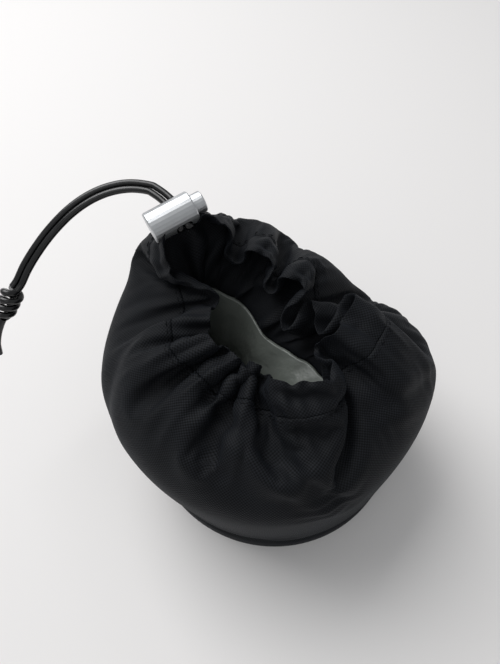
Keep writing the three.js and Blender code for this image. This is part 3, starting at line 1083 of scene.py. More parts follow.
@dataclass
class ClothRelaxer:
    """Position-based cloth: keeps threads at their length, resists bending and keeps layers apart.

    It starts from the cloth's first shape, rows by columns by 3. Lengths are in millimetres, and
    pairs of heights are where something fades in or out.
    """

    cloth: ShellCloth
    start: Points
    stretch: float = 0.9
    shear: float = 0.15
    bends: tuple[tuple[int, float], ...] = ((2, 0.08), (4, 0.04))
    bend_every: int = 2
    band_radius: float = 1.6
    wall_radius: float = 0.9
    puff: float = 0.02
    puff_heights: tuple[float, float] = (55, 75)
    damping: float = 0.9
    passes: int = 6
    longest_move: float = 0.6
    low_hold: float = 0.12
    low_heights: tuple[float, float] = (50, 82)
    crest_hold: float = 0.3
    fullness: float = 0.03
    fullness_heights: tuple[float, float] = (0, 40)
    calm_loss: float = 1.4
    tight_slack: float = 1.01
    tight_heights: tuple[float, float] = (62, 88)
    look_margin: float = 1.2
    look_every: int = 4
    own_layer: float = 1.35
    part_strength: float = 0.8

    def __post_init__(self) -> None:
        """Numbers the points, fixes some of them and lists the threads."""
        cloth = self.cloth
        self.place = self.start.copy()
        self.row_of = np.repeat(np.arange(cloth.rows), cloth.columns)
        self.column_of = np.tile(np.arange(cloth.columns), cloth.rows)
        banded = self.row_of >= cloth.row(cloth.stitch_height)
        self.radius = np.where(banded, self.band_radius, self.wall_radius)
        self.free = np.ones((cloth.rows, cloth.columns))
        self.hold = np.zeros((cloth.rows, cloth.columns))
        self.pin()
        self.threads = self.thread_sets()

    def pin(self) -> None:
        """Fixes the base ring, the valleys and the held folds, and holds the rest more or less."""
        cloth = self.cloth
        self.free[0] = 0
        self.hold[1:] = (self.low_hold * (1 - ease(cloth.up[1:], *self.low_heights)))[:, None]
        cord = cloth.row(cloth.cord_height)
        for fold in cloth.folds:
            column = cloth.column(fold.along)
            if fold.kind is FoldKind.HELD:
                self.free[-1, [(column + d) % cloth.columns for d in (-1, 0, 1)]] = 0
                continue
            self.hold[[-1, cord], column] = self.crest_hold
            if fold.kind is FoldKind.VALLEY:
                self.free[cord, column] = 0

    def spots(self, rows: Points, columns: Points) -> tuple[Points, Points]:
        """Index of the points in some rows and columns, which wrap round."""
        return np.ix_(rows, np.mod(columns, self.cloth.columns))

    def thread_sets(self) -> list[tuple]:
        """Lists the threads in sets that share no point.

        Returns:
            For each set the points at both ends, the length they keep and how strongly.
        """
        cloth = self.cloth
        r, c = np.arange(cloth.rows), np.arange(cloth.columns)
        calm = 1 - self.calm_loss * cloth.calm(cloth.along)
        full = self.fullness * ease(cloth.up, *self.fullness_heights)[:, None]
        around = cloth.across_step * (1 + full * calm)
        spacing = np.linalg.norm(np.roll(self.start, -1, 1) - self.start, axis=-1)
        tight = 1 - ease(cloth.up, *self.tight_heights)[:, None]
        around = around * (1 - tight) + np.minimum(around, spacing * self.tight_slack) * tight
        slant = math.hypot(cloth.across_step, cloth.up_step)
        sets = []
        for p in (0, 1):
            ends = self.spots(r, c[p::2]), self.spots(r, c[p::2] + 1)
            sets.append((*ends, around[:, p::2], self.stretch))
        lows = [r[p : cloth.rows - 1 : 2] for p in (0, 1)]
        for low in lows:
            sets.append((self.spots(low, c), self.spots(low + 1, c), cloth.up_step, self.stretch))
        for low in lows:
            for q in (0, 1):
                for here, there in ((c[q::2], c[q::2] + 1), (c[q::2] + 1, c[q::2])):
                    ends = self.spots(low, here), self.spots(low + 1, there)
                    sets.append((*ends, slant, self.shear))
        return sets

    def pull(self, a: tuple, b: tuple, rest: float | Points, strength: float) -> None:
        """Moves two sets of points towards their rest distance.

        Args:
            a: Index of the first points.
            b: Index of the second points.
            rest: The distance that they keep.
            strength: How much of the error is taken out, 0 to 1.
        """
        gap = self.place[b] - self.place[a]
        length = np.linalg.norm(gap, axis=-1)
        total = self.free[a] + self.free[b]
        share = strength * (length - rest) / (length * np.where(total == 0, 1, total))
        move = share[..., None] * gap
        self.place[a] += move * self.free[a][..., None]
        self.place[b] -= move * self.free[b][..., None]

    def straighten(self, step: int, strength: float) -> None:
        """Pushes points a few threads apart towards their flat distance.

        Args:
            step: How many threads apart.
            strength: How much of the error is taken out, 0 to 1.
        """
        gap = np.roll(self.place, -step, 1) - self.place
        length = np.linalg.norm(gap, axis=-1, keepdims=True)
        move = strength * 0.5 * (length - step * self.cloth.across_step) / length * gap
        self.place += (move - np.roll(move, step, 1)) * 0.5 * self.free[..., None]
        gap = self.place[step:] - self.place[:-step]
        length = np.linalg.norm(gap, axis=-1, keepdims=True)
        move = strength * 0.5 * (length - step * self.cloth.up_step) / length * gap
        total = np.zeros_like(self.place)
        total[:-step] += move
        total[step:] -= move
        self.place += total * 0.5 * self.free[..., None]

    def near_pairs(self) -> tuple[Points, Points, Points]:
        """Finds points that are close in space and apart on the cloth.

        Returns:
            The two points' numbers and the distance they keep.
        """
        q = self.place.reshape(-1, 3)
        cell = 2 * max(self.band_radius, self.wall_radius) + self.look_margin
        box = np.floor((q - q.min(0)) / cell).astype(np.int64) + 1
        size = box.max(0) + 2
        key = (box[:, 0] * size[1] + box[:, 1]) * size[2] + box[:, 2]
        order = np.argsort(key, kind="stable")
        ordered = key[order]
        near = (-1, 0, 1)
        cells = [(a, b, c) for a in near for b in near for c in near if (a, b, c) >= (0, 0, 0)]
        first, second = [], []
        for a, b, c in cells:
            wanted = key + (a * size[1] + b) * size[2] + c
            low = np.searchsorted(ordered, wanted, "left")
            count = np.searchsorted(ordered, wanted, "right") - low
            i = np.repeat(np.arange(len(q)), count)
            inside = np.arange(count.sum()) - np.repeat(np.cumsum(count) - count, count)
            j = order[np.repeat(low, count) + inside]
            keep = (i < j) if (a, b, c) == (0, 0, 0) else slice(None)
            first.append(i[keep])
            second.append(j[keep])
        i, j = np.concatenate(first), np.concatenate(second)
        apart = abs(self.column_of[i] - self.column_of[j])
        apart = np.minimum(apart, self.cloth.columns - apart) * self.cloth.across_step
        rise = (self.row_of[i] - self.row_of[j]) * self.cloth.up_step
        keep_off = self.radius[i] + self.radius[j]
        close = np.linalg.norm(q[i] - q[j], axis=1) < keep_off + self.look_margin
        chosen = (np.hypot(apart, rise) > keep_off * self.own_layer) & close
        return i[chosen], j[chosen], keep_off[chosen]

    def part(self, pairs: tuple[Points, Points, Points]) -> None:
        """Moves points apart that are closer than their layers' thickness.

        Args:
            pairs: The two points' numbers and the distance they keep.
        """
        i, j, keep_off = pairs
        q = self.place.reshape(-1, 3)
        free = self.free.ravel()
        gap = q[j] - q[i]
        length = np.maximum(np.linalg.norm(gap, axis=1), TINY)
        hit = length < keep_off
        i, j, keep_off, gap, length = i[hit], j[hit], keep_off[hit], gap[hit], length[hit]
        total = free[i] + free[j]
        share = self.part_strength * (length - keep_off) / (length * np.where(total == 0, 1, total))
        move = share[:, None] * gap
        shift = np.zeros_like(q)
        count = np.zeros(len(q))
        for points, way in ((i, 1), (j, -1)):
            np.add.at(shift, points, way * move * free[points][:, None])
            np.add.at(count, points, 1)
        self.place += (shift / np.maximum(count, 1)[:, None]).reshape(self.place.shape)

    def run(self, steps: int) -> Points:
        """Relaxes the cloth.

        Args:
            steps: How many steps to take.

        Returns:
            The relaxed grid of points.
        """
        speed = np.zeros_like(self.place)
        lively = ease(self.cloth.up, *self.puff_heights)[:, None, None]
        pairs = None
        for step in range(steps):
            before = self.place.copy()
            move = speed * self.damping
            size = np.linalg.norm(move, axis=-1, keepdims=True)
            move *= np.minimum(1, self.longest_move / np.maximum(size, TINY))
            move += self.puff * lively * sheet_normals(self.place)
            self.place += move * self.free[..., None]
            if step % self.look_every == 0:
                pairs = self.near_pairs()
            for number in range(self.passes):
                for thread in reversed(self.threads):
                    self.pull(*thread)
                if number % self.bend_every == 0:
                    for reach, strength in self.bends:
                        self.straighten(reach, strength)
            self.part(pairs)
            self.place += (self.start - self.place) * self.hold[..., None]
            speed = self.place - before
        return self.place


# Short for the table, which goes once round the mouth in millimetres along the cloth's edge.
F = FoldKind
MOUTH_FOLDS = [
    Fold(F.HELD, 0, (-29.5, 24.0, 110.5), (-36.0, 36.0, 92.0)),
    Fold(F.HELD, 11, (-38.8, 19.0, 110.0), (-47.0, 28.0, 90.0)),
    Fold(F.VALLEY, 22, (-37.0, 12.4, 101.0), (-51.5, 22.0, 86.0)),
    Fold(F.CREST, 32, (-29.2, 10.0, 97.0), (-48.0, 19.0, 85.0)),
    Fold(F.VALLEY, 42, (-20.0, 5.6, 95.0), (-42.0, 10.5, 82.0)),
    Fold(F.VALLEY, 47, (-22.2, 5.2, 91.0), (-43.0, 6.0, 82.0)),
    Fold(F.CREST, 57, (-22.7, -4.8, 94.0), (-45.5, -1.0, 86.0)),
    Fold(F.VALLEY, 63, (-24.8, -6.9, 90.0), (-43.0, -7.5, 82.0)),
    Fold(F.CREST, 71, (-24.6, -12.9, 94.0), (-41.0, -12.5, 86.0)),
    Fold(F.CREST, 80, (-18.8, -14.7, 94.0), (-36.0, -14.0, 86.0)),
    Fold(F.VALLEY, 86, (-18.3, -15.5, 90.0), (-33.7, -16.4, 82.0)),
    Fold(F.CREST, 95, (-12.2, -20.1, 94.0), (-33.5, -22.5, 86.0)),
    Fold(F.VALLEY, 101, (-14.9, -19.3, 89.0), (-24.4, -21.8, 82.0)),
    Fold(F.CREST, 107, (-11.5, -20.9, 93.0), (-22.5, -25.1, 85.0)),
    Fold(F.VALLEY, 113, (-10.8, -20.5, 88.0), (-18.1, -25.2, 78.0)),
    Fold(F.CREST, 120, (-8.1, -21.2, 94.0), (-14.3, -25.9, 85.0)),
    Fold(F.VALLEY, 126, (-8.1, -21.8, 88.0), (-12.0, -25.7, 79.0)),
    Fold(F.CREST, 137, (-4.2, -26.2, 97.0), (-7.2, -30.0, 79.0)),
    Fold(F.CREST, 146, (1.9, -30.1, 96.0), (3.1, -34.7, 76.0)),
    Fold(F.CREST, 153, (8.0, -29.0, 97.0), (10.2, -34.7, 76.0)),
    Fold(F.CREST, 160, (12.6, -30.4, 97.0), (23.8, -30.4, 78.0)),
    Fold(F.VALLEY, 178, (10.4, -15.8, 90.0), (22.1, -9.6, 85.0)),
    Fold(F.CREST, 198, (16.7, -8.0, 97.0), (34.6, -2.0, 87.0)),
    Fold(F.CREST, 215, (19.3, 4.1, 98.0), (32.5, 10.0, 87.0)),
    Fold(F.VALLEY, 231, (11.2, -9.1, 91.0), (29.5, 3.5, 80.8)),
    Fold(F.CREST, 241, (9.2, 1.0, 95.0), (26.5, 10.5, 84.4)),
    Fold(F.VALLEY, 258, (-1.2, -7.6, 89.0), (15.0, 10.0, 80.0)),
    Fold(F.CREST, 280, (7.4, 9.0, 97.0), (13.5, 21.0, 84.0)),
    Fold(F.VALLEY, 299, (-5.0, 9.4, 91.0), (3.0, 27.0, 81.0)),
    Fold(F.CREST, 315, (-6.6, 22.0, 96.0), (-2.5, 41.5, 82.0)),
    Fold(F.VALLEY, 330, (-16.6, 23.6, 94.0), (-19.0, 34.0, 82.0)),
    Fold(F.HELD, 346, (-18.3, 25.9, 107.0), (-20.5, 35.5, 88.0)),
]


@dataclass(frozen=True)
class FacingFold:
    """A fold in the facing, from a place under the channel slanting down to another.

    Places and widths are in millimetres along the cloth's edge; reach is the share of the
    facing's drop after which the fold fades.
    """

    top: float
    bottom: float
    reach: float
    top_width: float
    bottom_width: float
    depth: float
    fade_in: float = 0.3
    fade_out: float = 0.4

    def press(self, share: Points, along: Points, girth: float) -> Points:
        """Works out how far the fold moves each point of the facing outwards.

        Args:
            share: The share of the drop at each row.
            along: The place along the edge at each column.
            girth: The edge's length.

        Returns:
            Rows by columns, in millimetres.
        """
        down = np.clip(share / self.reach, 0, 1)[:, None]
        centre = self.top + (self.bottom - self.top) * down
        width = self.top_width + (self.bottom_width - self.top_width) * down
        fade = ease(share, self.reach, min(self.reach + self.fade_out, 1))
        held = ease(share, 0.0, self.fade_in) * (1 - fade)
        return self.depth * bell(shortest(along - centre, girth) / width, 1.0) * held[:, None]


FACING_FOLDS = [
    FacingFold(-4, -3, 0.6, 9.0, 2.0, 6.0),
    FacingFold(-20, -10, 0.75, 4.0, 2.5, 4.0),
    FacingFold(-34, -22, 0.8, 4.0, 3.0, 3.5),
    FacingFold(-62, -50, 0.8, 5.0, 3.5, 3.0),
    FacingFold(-96, -86, 0.8, 6.0, 4.0, 3.0),
]

# Places along the cloth's edge, and where the facing's lower edge hangs below them.
FACING_EDGE = [
    (0, (-31.0, 20.0, 80.0)),
    (11, (-35.0, 14.0, 80.0)),
    (22, (-34.5, 8.0, 80.0)),
    (42, (-30.0, 2.0, 79.0)),
    (63, (-27.0, -7.0, 79.0)),
    (80, (-22.0, -15.0, 78.0)),
    (101, (-16.0, -21.0, 76.0)),
    (126, (-8.0, -27.0, 71.0)),
    (146, (2.0, -32.0, 67.0)),
    (160, (13.0, -31.0, 67.0)),
    (178, (17.5, -20.5, 74.0)),
    (198, (13.5, -13.5, 75.0)),
    (215, (10.5, -9.5, 75.0)),
    (231, (7.0, -7.0, 74.5)),
    (241, (4.0, -4.3, 74.0)),
    (257, (-1.3, -0.5, 74.0)),
    (275, (-6.0, 4.3, 74.0)),
    (293, (-10.5, 12.7, 75.0)),
    (309, (-15.0, 17.5, 76.0)),
    (326, (-19.5, 19.0, 77.5)),
    (346, (-26.0, 21.5, 79.0)),
]

# How far the loose lining swells inwards below that edge. It stands clear of the right wall, so
# the window lights it just under the facing.
LINING_SWELL = [
    (0, (-2.0, -24.0, -50.0)),
    (25, (0.0, -4.0, -20.0)),
    (60, (0.0, 0.0, 0.0)),
    (120, (0.0, 0.0, 0.0)),
    (150, (-14.0, 6.0, -4.0)),
    (172, (-38.0, -6.0, -10.0)),
    (200, (-48.0, -24.0, -22.0)),
    (228, (-48.0, -34.0, -42.0)),
    (256, (-40.0, -40.0, -66.0)),
    (285, (-28.0, -44.0, -80.0)),
    (315, (-14.0, -42.0, -80.0)),
    (340, (-8.0, -36.0, -64.0)),
]


@dataclass(frozen=True)
class Crease:
    """A sharp valley pressed into the wall along a line on the flat cloth, with soft lips."""

    line: tuple[tuple[float, float], ...]
    depth: float
    width: float
    lip: float = 0.35
    lip_away: float = 2.1
    ends: float = 0.04

    def press(self, along: Points, up: Points, girth: float) -> Points:
        """Works out how far the crease moves each point of the cloth inwards.

        Args:
            along: Each point's place along the cloth's edge.
            up: Each point's height on the flat cloth.
            girth: The edge's length.

        Returns:
            Rows by columns, in millimetres.
        """
        line = np.array(self.line)
        centre = line[:, 0].mean()
        place = np.stack([centre + shortest(along - centre, girth), up], -1)
        nearest = np.full(place.shape[:-1], np.inf)
        fade = np.zeros(place.shape[:-1])
        count = len(line) - 1
        for i, (start, end) in enumerate(zip(line[:-1], line[1:])):
            edge = end - start
            share = np.clip(((place - start) @ edge) / (edge @ edge), 0, 1)
            gap = np.linalg.norm(place - start - share[..., None] * edge, axis=-1)
            walked = np.clip((i + share) / count, self.ends, 1 - self.ends)
            fade = np.where(gap < nearest, np.sin(math.pi * walked) ** 0.5, fade)
            nearest = np.minimum(nearest, gap)
        lips = self.lip * bell(nearest - self.lip_away * self.width, self.width)
        return self.depth * fade * (bell(nearest, self.width) - lips)


# The lines are places along the cloth's edge and heights above the base seam, in millimetres.
WALL_CREASES = [
    Crease(((54, 126), (53, 112), (52, 98)), 1.2, 1.7, 0.5),
    Crease(((66, 126), (65, 112), (63, 96)), 1.6, 1.7, 0.5),
    Crease(((76, 126), (75, 112), (74, 99)), 1.1, 1.5, 0.5),
    Crease(((87, 126), (86, 112), (84, 96)), 1.6, 1.7, 0.5),
    Crease(((94, 126), (93, 112), (91, 99)), 1.0, 1.5, 0.5),
    Crease(((102, 126), (101, 112), (101, 95)), 1.6, 1.7, 0.5),
    Crease(((114, 126), (113, 112), (115, 96)), 1.4, 1.7, 0.5),
    Crease(((126, 126), (126, 112), (128, 97)), 1.2, 1.7, 0.5),
    Crease(((170, 126), (171, 112), (175, 96)), 1.2, 2.0, 0.4),
    Crease(((186, 126), (187, 112), (190, 98)), 1.2, 2.0, 0.4),
    Crease(((222, 126), (223, 112), (224, 96)), 1.2, 1.8, 0.5),
    Crease(((92, 103), (104, 101), (113, 98), (121, 94.5)), 1.6, 2.6, 0.2),
    Crease(((119, 95), (130, 91), (138, 86.5), (146, 80), (154, 72), (160, 62)), 1.7, 2.6, 0.5),
    Crease(((112, 90), (116, 82), (122, 77)), 2.0, 4.5, 0.3),
    Crease(((176, 90), (186, 87), (198, 80), (212, 72)), 1.1, 3.0, 0.5),
    Crease(((60, 86), (66, 74), (72, 60)), 0.9, 4.0, 0.4),
    Crease(((84, 24), (98, 15), (112, 12), (130, 14), (144, 20)), 0.9, 3.0, 0.4),
    Crease(((236, 78), (242, 66), (250, 54)), 1.2, 4.0, 0.4),
    Crease(((298, 80), (304, 70), (312, 58)), 1.2, 4.0, 0.4),
    Crease(((268, 20), (284, 13), (304, 15), (318, 22)), 0.9, 3.0, 0.4),
    Crease(((0, 24), (14, 15), (30, 13), (48, 19)), 0.9, 3.0, 0.4),
]


@dataclass(frozen=True)
class Disc:
    """A round sheet's radius, the height of its lower face, and how far its edge turns up."""

    radius: float
    foot: float
    lift: float = 0.0


@dataclass(frozen=True)
class Drape:
    """Soft upright folds: their distance and depth in millimetres, and how they come and go.

    The folds deepen and fade between shares of the hanging sheet's rows.
    """

    pitch: float
    depth: float
    deepens: tuple[float, float]
    fades: tuple[float, float]
    sway: Waves = ((1.2, 3, 0.0), (0.8, 8, 1.0))


@dataclass
class PouchBody:
    """Everything sewn: wall, channel, stitching, base, tapes and lining, from the relaxed cloth.

    Sizes are in millimetres, and heights are on the flat cloth above the base seam. Handles are
    the shares of a hanging sheet's drop over which it keeps its direction at an edge.
    """

    cloth: ShellCloth
    fabric: float = 0.6
    base_fold_level: float = 10.0
    base_fold_depth: float = 1.5
    base_fold_spread: float = 3.0
    seam_heights: tuple[float, float] = (1, 6)
    gather_pitch: float = 4.6
    gather_depth: float = 0.55
    gather_heights: tuple[float, float] = (86, 101)
    gather_loss: float = 0.55
    gather_loss_heights: tuple[float, float] = (108, 117)
    gather_calm: float = 0.6
    gather_sway: Waves = ((1.1, 3, 0.6), (0.8, 7, 2.0), (0.5, 13, 0.0))
    gather_uneven: float = 0.35
    gather_beats: tuple[Waves, Waves] = (((1.0, 5, 1.3),), ((1.0, 11, 0.0),))
    gather_crisp: float = 0.3
    gather_slant: float = 0.07
    slant_height: float = 100.0
    slant_wave: Waves = ((1.0, 2, 1.0),)
    channel_fabric: float = 0.36
    channel_outer: float = 0.8
    channel_inner: float = 1.8
    channel_flat: float = 1.0
    channel_rows: int = 11
    channel_end_columns: int = 2
    row_crowding: float = 1.5
    cord_share: float = 0.36
    cord_spread: float = 0.24
    foot_share: float = 0.2
    rim_share: float = 0.85
    middle_columns: tuple[int, int, int] = (6, -4, 2)
    base: Disc = Disc(ShellCloth.base_radius, 0.05, 0.35)
    base_fabric: float = 0.7
    disc_corners: int = 120
    disc_rings: tuple[float, ...] = (0.6, 1.2, 4.0, 10.0, 14.0, 14.0)
    disc_edge: float = 1.3
    normal_rounds: int = 3
    normal_mix: float = 0.5
    facing_fabric: float = 0.42
    facing_rows: int = 18
    facing_above: float = 1.5
    facing_inset: float = 1.2
    facing_length: float = 28.0
    facing_handles: tuple[float, float] = (0.4, 0.3)
    facing_drape: Drape = Drape(15.0, 1.0, (0.05, 0.4), (0.45, 0.95))
    film: float = 0.4
    lining_gap: float = 1.3
    lining_low: tuple[float, float] = (1.6, 3.2)
    lining_first: float = 5.0
    lining_join: float = 52.0
    lining_step: float = 2.0
    lining_smoothing: int = 8
    lining_length: float = 92.0
    lining_rows: int = 24
    lining_rise: float = 5.0
    lining_handle: float = 0.45
    lining_drape: Drape = Drape(18.0, 0.8, (0.1, 0.5), (0.5, 0.9))
    edge_overlap: float = 0.6
    floor: Disc = Disc(55.4, 2.7)
    floor_gap: float = 0.2
    floor_level: float = 3.3
    tape_depth: float = 0.8
    tape_thickness: float = 0.3
    tape_step: float = 2.0
    tape_width: float = 7.0
    tape_foot: float = 5.4
    tape_top: float = 50.0
    ring_heights: tuple[float, ...] = (0.1, 2.0, 3.9)
    stitch_length: float = 2.0
    stitch_pitch: float = 2.9
    stitch_above: float = 1.6
    stitch_look: float = 0.4
    thread_corners: int = 6
    thread_radius: float = 0.2
    thread_lift: float = 0.7
    thread_sink: float = 1.1
    thread_taper: float = 0.35

    def __post_init__(self) -> None:
        """Works out the finer grid of the wall's outer face."""
        self.columns = 2 * self.cloth.columns
        self.along = np.arange(self.columns) / self.columns * self.cloth.girth
        self.up = np.linspace(0, self.cloth.height, 2 * self.cloth.rows - 1)
        self.skin = self.outer_face()
        self.out = sheet_normals(self.skin)

    def row(self, height: float) -> int:
        """Number of the finer grid's row nearest to a height."""
        return int(np.argmin(abs(self.up - height)))

    def gathers(self) -> Points:
        """Works out the small puckers that the cord's pull leaves in and just under the channel.

        Returns:
            How far each point of the finer grid stands out, in millimetres.
        """
        cloth = self.cloth
        along, up = np.meshgrid(self.along, self.up)
        turn = TAU * along / cloth.girth
        slant = self.gather_slant * (up - self.slant_height) * sway(turn, self.slant_wave)
        wave = turn * round(cloth.girth / self.gather_pitch) + sway(turn, self.gather_sway) + slant
        slow, quick = (sway(turn, waves) for waves in self.gather_beats)
        uneven = 1 - self.gather_uneven + self.gather_uneven * slow * quick
        loss = self.gather_loss * ease(up, *self.gather_loss_heights)
        held = ease(up, *self.gather_heights) * (1 - loss)
        held *= 1 - self.gather_calm * cloth.calm(along)
        pucker = np.sin(wave) - self.gather_crisp * np.cos(2 * wave)
        return self.gather_depth * uneven * held * pucker

    def outer_face(self) -> Points:
        """Makes the wall's outer face with the fold above the base, the creases and the gathers.

        Returns:
            Rows by columns by 3.
        """
        points = refine(self.cloth.points)
        along, up = np.meshgrid(self.along, self.up)
        above = points[..., 2] - self.base_fold_level
        depth = self.base_fold_depth * bell(above, self.base_fold_spread)
        for crease in WALL_CREASES:
            depth += crease.press(along, up, self.cloth.girth)
        depth *= ease(up, *self.seam_heights)
        return points - sheet_normals(points) * (depth - self.gathers())[..., None]

    def build_wall(self) -> list[bpy.types.Object]:
        """Makes the wall from the base seam to the stitching row."""
        top = self.row(self.cloth.stitch_height) + 1
        places = flat_places(self.up[:top], self.along)
        skin, thickness = self.skin[:top], self.fabric
        wall = sew("shell_wall", skin, places, SHELL, "outer_wall", thickness, levels=0)
        return [wall]

    def channel_section(self) -> list[tuple[float, float, float]]:
        """Works out the turned-over channel's section, from its foot over its fold and back down.

        Returns:
            For each row the share of the channel's height, how far it stands out, and the
            place on the flat cloth.
        """
        low = self.row(self.cloth.stitch_height)
        last = len(self.up) - 1
        shares = 1 - (1 - np.linspace(0, 1, self.channel_rows)) ** self.row_crowding
        outer, inner = [], []
        for share in shares:
            spot = low + share * (last - low)
            height = mix_rows(self.up, spot)
            near_rim = max((share - self.rim_share) / (1 - self.rim_share), 0)
            rounded = math.sqrt(max(1 - near_rim**2, 0))
            swell = math.exp(-(((share - self.cord_share) / self.cord_spread) ** 2))
            out = self.channel_outer * swell * float(ease(share, 0, self.foot_share))
            back = self.channel_flat * rounded + (self.channel_inner - self.channel_flat) * swell
            outer.append((spot, out, height))
            inner.append((spot, -back, 2 * self.cloth.height - height))
        return outer + inner[-2::-1]

    def build_channel(self) -> list[bpy.types.Object]:
        """Makes the channel, a flattened tube open at both ends beside the cord lock."""
        shape = []
        places = []
        for spot, offset, place in self.channel_section():
            shape.append(mix_rows(self.skin, spot) + unit(mix_rows(self.out, spot)) * offset)
            places.append(place)
        keep = slice(self.channel_end_columns, self.columns - self.channel_end_columns + 1)
        flat = flat_places(np.array(places), self.along[keep])
        grid = np.array(shape)[:, keep]
        node, thickness = "drawstring_channel", self.channel_fabric
        channel = sew("cord_channel", grid, flat, SHELL, node, thickness, wraps=False)
        return [channel]

    def channel_middle(self) -> Points:
        """Middle line of the channel, thinned, from one open end to the other."""
        foot, rim = self.cloth.stitch_height, self.cloth.height
        row = self.row(foot + self.cord_share * (rim - foot))
        line = self.skin[row] - self.out[row] * (self.channel_inner - self.channel_outer) / 2
        return line[slice(*self.middle_columns)]

    def disc(
        self, name: str, disc: Disc, thickness: float, finish: Finish, node: str, held: str
    ) -> bpy.types.Object:
        """Makes a round sheet from nested rings, which lies on the board.

        Args:
            name: The piece's name.
            disc: Its place and size.
            thickness: Its thickness in millimetres.
            finish: Its finish.
            node: The CAD node that it stands for.
            held: How it is held; not used.

        Returns:
            The piece.
        """
        deselect()
        radius = disc.radius
        bpy.ops.mesh.primitive_circle_add(
            vertices=self.disc_corners, radius=radius * MM, fill_type="NGON"
        )
        obj = bpy.context.object
        obj.name = obj.data.name = name
        bpy.ops.object.mode_set(mode="EDIT")
        bpy.ops.mesh.select_all(action="SELECT")
        for step in self.disc_rings:
            bpy.ops.mesh.inset(thickness=step * MM, depth=0)
        bpy.ops.object.mode_set(mode="OBJECT")
        layer = obj.data.uv_layers[0] if obj.data.uv_layers else obj.data.uv_layers.new()
        layer.name = "cloth"
        for vertex in obj.data.vertices:
            reach = vertex.co.xy.length / MM
            turned_up = float(ease(reach, radius - self.disc_edge, radius))
            vertex.co.z = (disc.foot + disc.lift * turned_up) * MM
        for loop in obj.data.loops:
            x, y, _ = obj.data.vertices[loop.vertex_index].co
            layer.data[loop.index].uv = (x / MM * UV_SCALE, y / MM * UV_SCALE)
        thicken(obj, thickness, levels=0, offset=1.0)
        dress(obj, finish, node)
        return obj

    def build_base(self) -> list[bpy.types.Object]:
        """Makes the round base under the wall."""
        thickness = self.base_fabric
        return [self.disc("shell_base", self.base, thickness, SHELL, "outer_base", "stretched")]

    def inner_grid(self, depth: float, heights: Points, smoothing: int = 0) -> Points:
        """Follows the wall's inside at a depth.

        Args:
            depth: How far inside the wall's outer face, in millimetres.
            heights: The heights on the flat cloth to follow.
            smoothing: How often the sheet is smoothed, staying inside that depth.

        Returns:
            Rows by columns by 3.
        """
        wall = self.skin[:, ::2]
        out = sheet_normals(wall)
        for _ in range(self.normal_rounds):
            out = unit(out + self.normal_mix * (np.roll(out, 1, 1) + np.roll(out, -1, 1)))
        spots = np.asarray(heights) / self.up[1]
        normal = unit(np.array([mix_rows(out, spot) for spot in spots]))
        limit = np.array([mix_rows(wall, spot) for spot in spots]) - normal * depth
        points = limit.copy()
        for _ in range(smoothing):
            mean = (np.roll(points, 1, 1) + np.roll(points, -1, 1)) / 2
            mean[1:-1] = (mean[1:-1] + (points[2:] + points[:-2]) / 2) / 2
            mean[0] = points[0]
            past = np.maximum(((mean - limit) * normal).sum(-1, keepdims=True), 0)
            points = mean - normal * past
        return points

    def edge_points(self, table: list[tuple[float, Point]]) -> Points:
        """A smooth closed line through a table's points, given by their place along the cloth."""
        places, points = zip(*table)
        return self.cloth.round_the_cloth(list(places), list(points))

    def drape(self, points: Points, drape: Drape) -> Points:
        """Presses soft upright folds into a hanging sheet.

        Args:
            points: Rows by columns by 3.
            drape: The folds.

        Returns:
            The folded rows.
        """
        share = np.linspace(0, 1, len(points))
        deep = drape.depth * ease(share, *drape.deepens) * (1 - ease(share, *drape.fades))
        turn = TAU * self.cloth.along / self.cloth.girth
        number = round(self.cloth.girth / drape.pitch)
        wave = np.sin(turn * number + sway(turn, drape.sway))
        return points - sheet_normals(points) * (deep[:, None] * wave)[..., None]

    def build_facing(self) -> bpy.types.Object:
        """Makes the nylon facing that hangs from the channel's inner foot to the lining.

        Returns:
            The piece.
        """
        top = self.row(self.cloth.stitch_height + self.facing_above)
        start = (self.skin[top] - self.out[top] * self.facing_inset)[::2]
        edge = self.edge_points(FACING_EDGE)
        drop = UP * (start - edge)[:, 2:]
        upper, lower = self.facing_handles
        rows = hang(start, edge, start - drop * upper, edge + drop * lower, self.facing_rows)
        rows = self.drape(rows, self.facing_drape)
        out = sheet_normals(rows)
        share = np.linspace(0, 1, self.facing_rows)
        for fold in FACING_FOLDS:
            rows = rows + out * fold.press(share, self.cloth.along, self.cloth.girth)[..., None]
        heights = self.cloth.stitch_height - share[::-1] * self.facing_length
        places = flat_places(heights, self.cloth.along)
        thickness = self.facing_fabric
        return sew("mouth_facing", rows[::-1], places, SHELL, "lining_wall", thickness, inward=True)

    def build_lining(self) -> list[bpy.types.Object]:
        """Makes the lining's wall, from the facing down, and its round base.

        Returns:
            The pieces.
        """
        facing = self.build_facing()
        rising = np.arange(self.lining_first, self.lining_join, self.lining_step)
        heights = np.concatenate([self.lining_low, rising])
        low = self.inner_grid(self.lining_gap, heights, self.lining_smoothing)
        reach = np.linalg.norm(low[0, :, :2], axis=1, keepdims=True)
        low[0, :, :2] *= (self.floor.radius - self.floor_gap) / reach
        low[0, :, 2] = self.floor_level
        edge = self.edge_points(FACING_EDGE) + UP * self.edge_overlap
        end = low[-1]
        rise = (low[-1] - low[-2]) * self.lining_rise
        handle = UP * (edge - end)[:, 2:] * self.lining_handle
        swell = self.edge_points(LINING_SWELL)
        upper = hang(end, edge, end + rise, edge - handle + swell, self.lining_rows)[1:]
        upper = self.drape(upper, self.lining_drape)
        points = np.concatenate([low, upper])
        rest = np.linspace(heights[-1], self.lining_length, self.lining_rows)[1:]
        places = flat_places(np.concatenate([heights, rest]), self.cloth.along)
        wall = sew("lining_side", points, places, LINING, "lining_wall", self.film, inward=True)
        floor = self.disc("lining_floor", self.floor, self.film, LINING, "lining_base", "laid")
        return [facing, wall, floor]

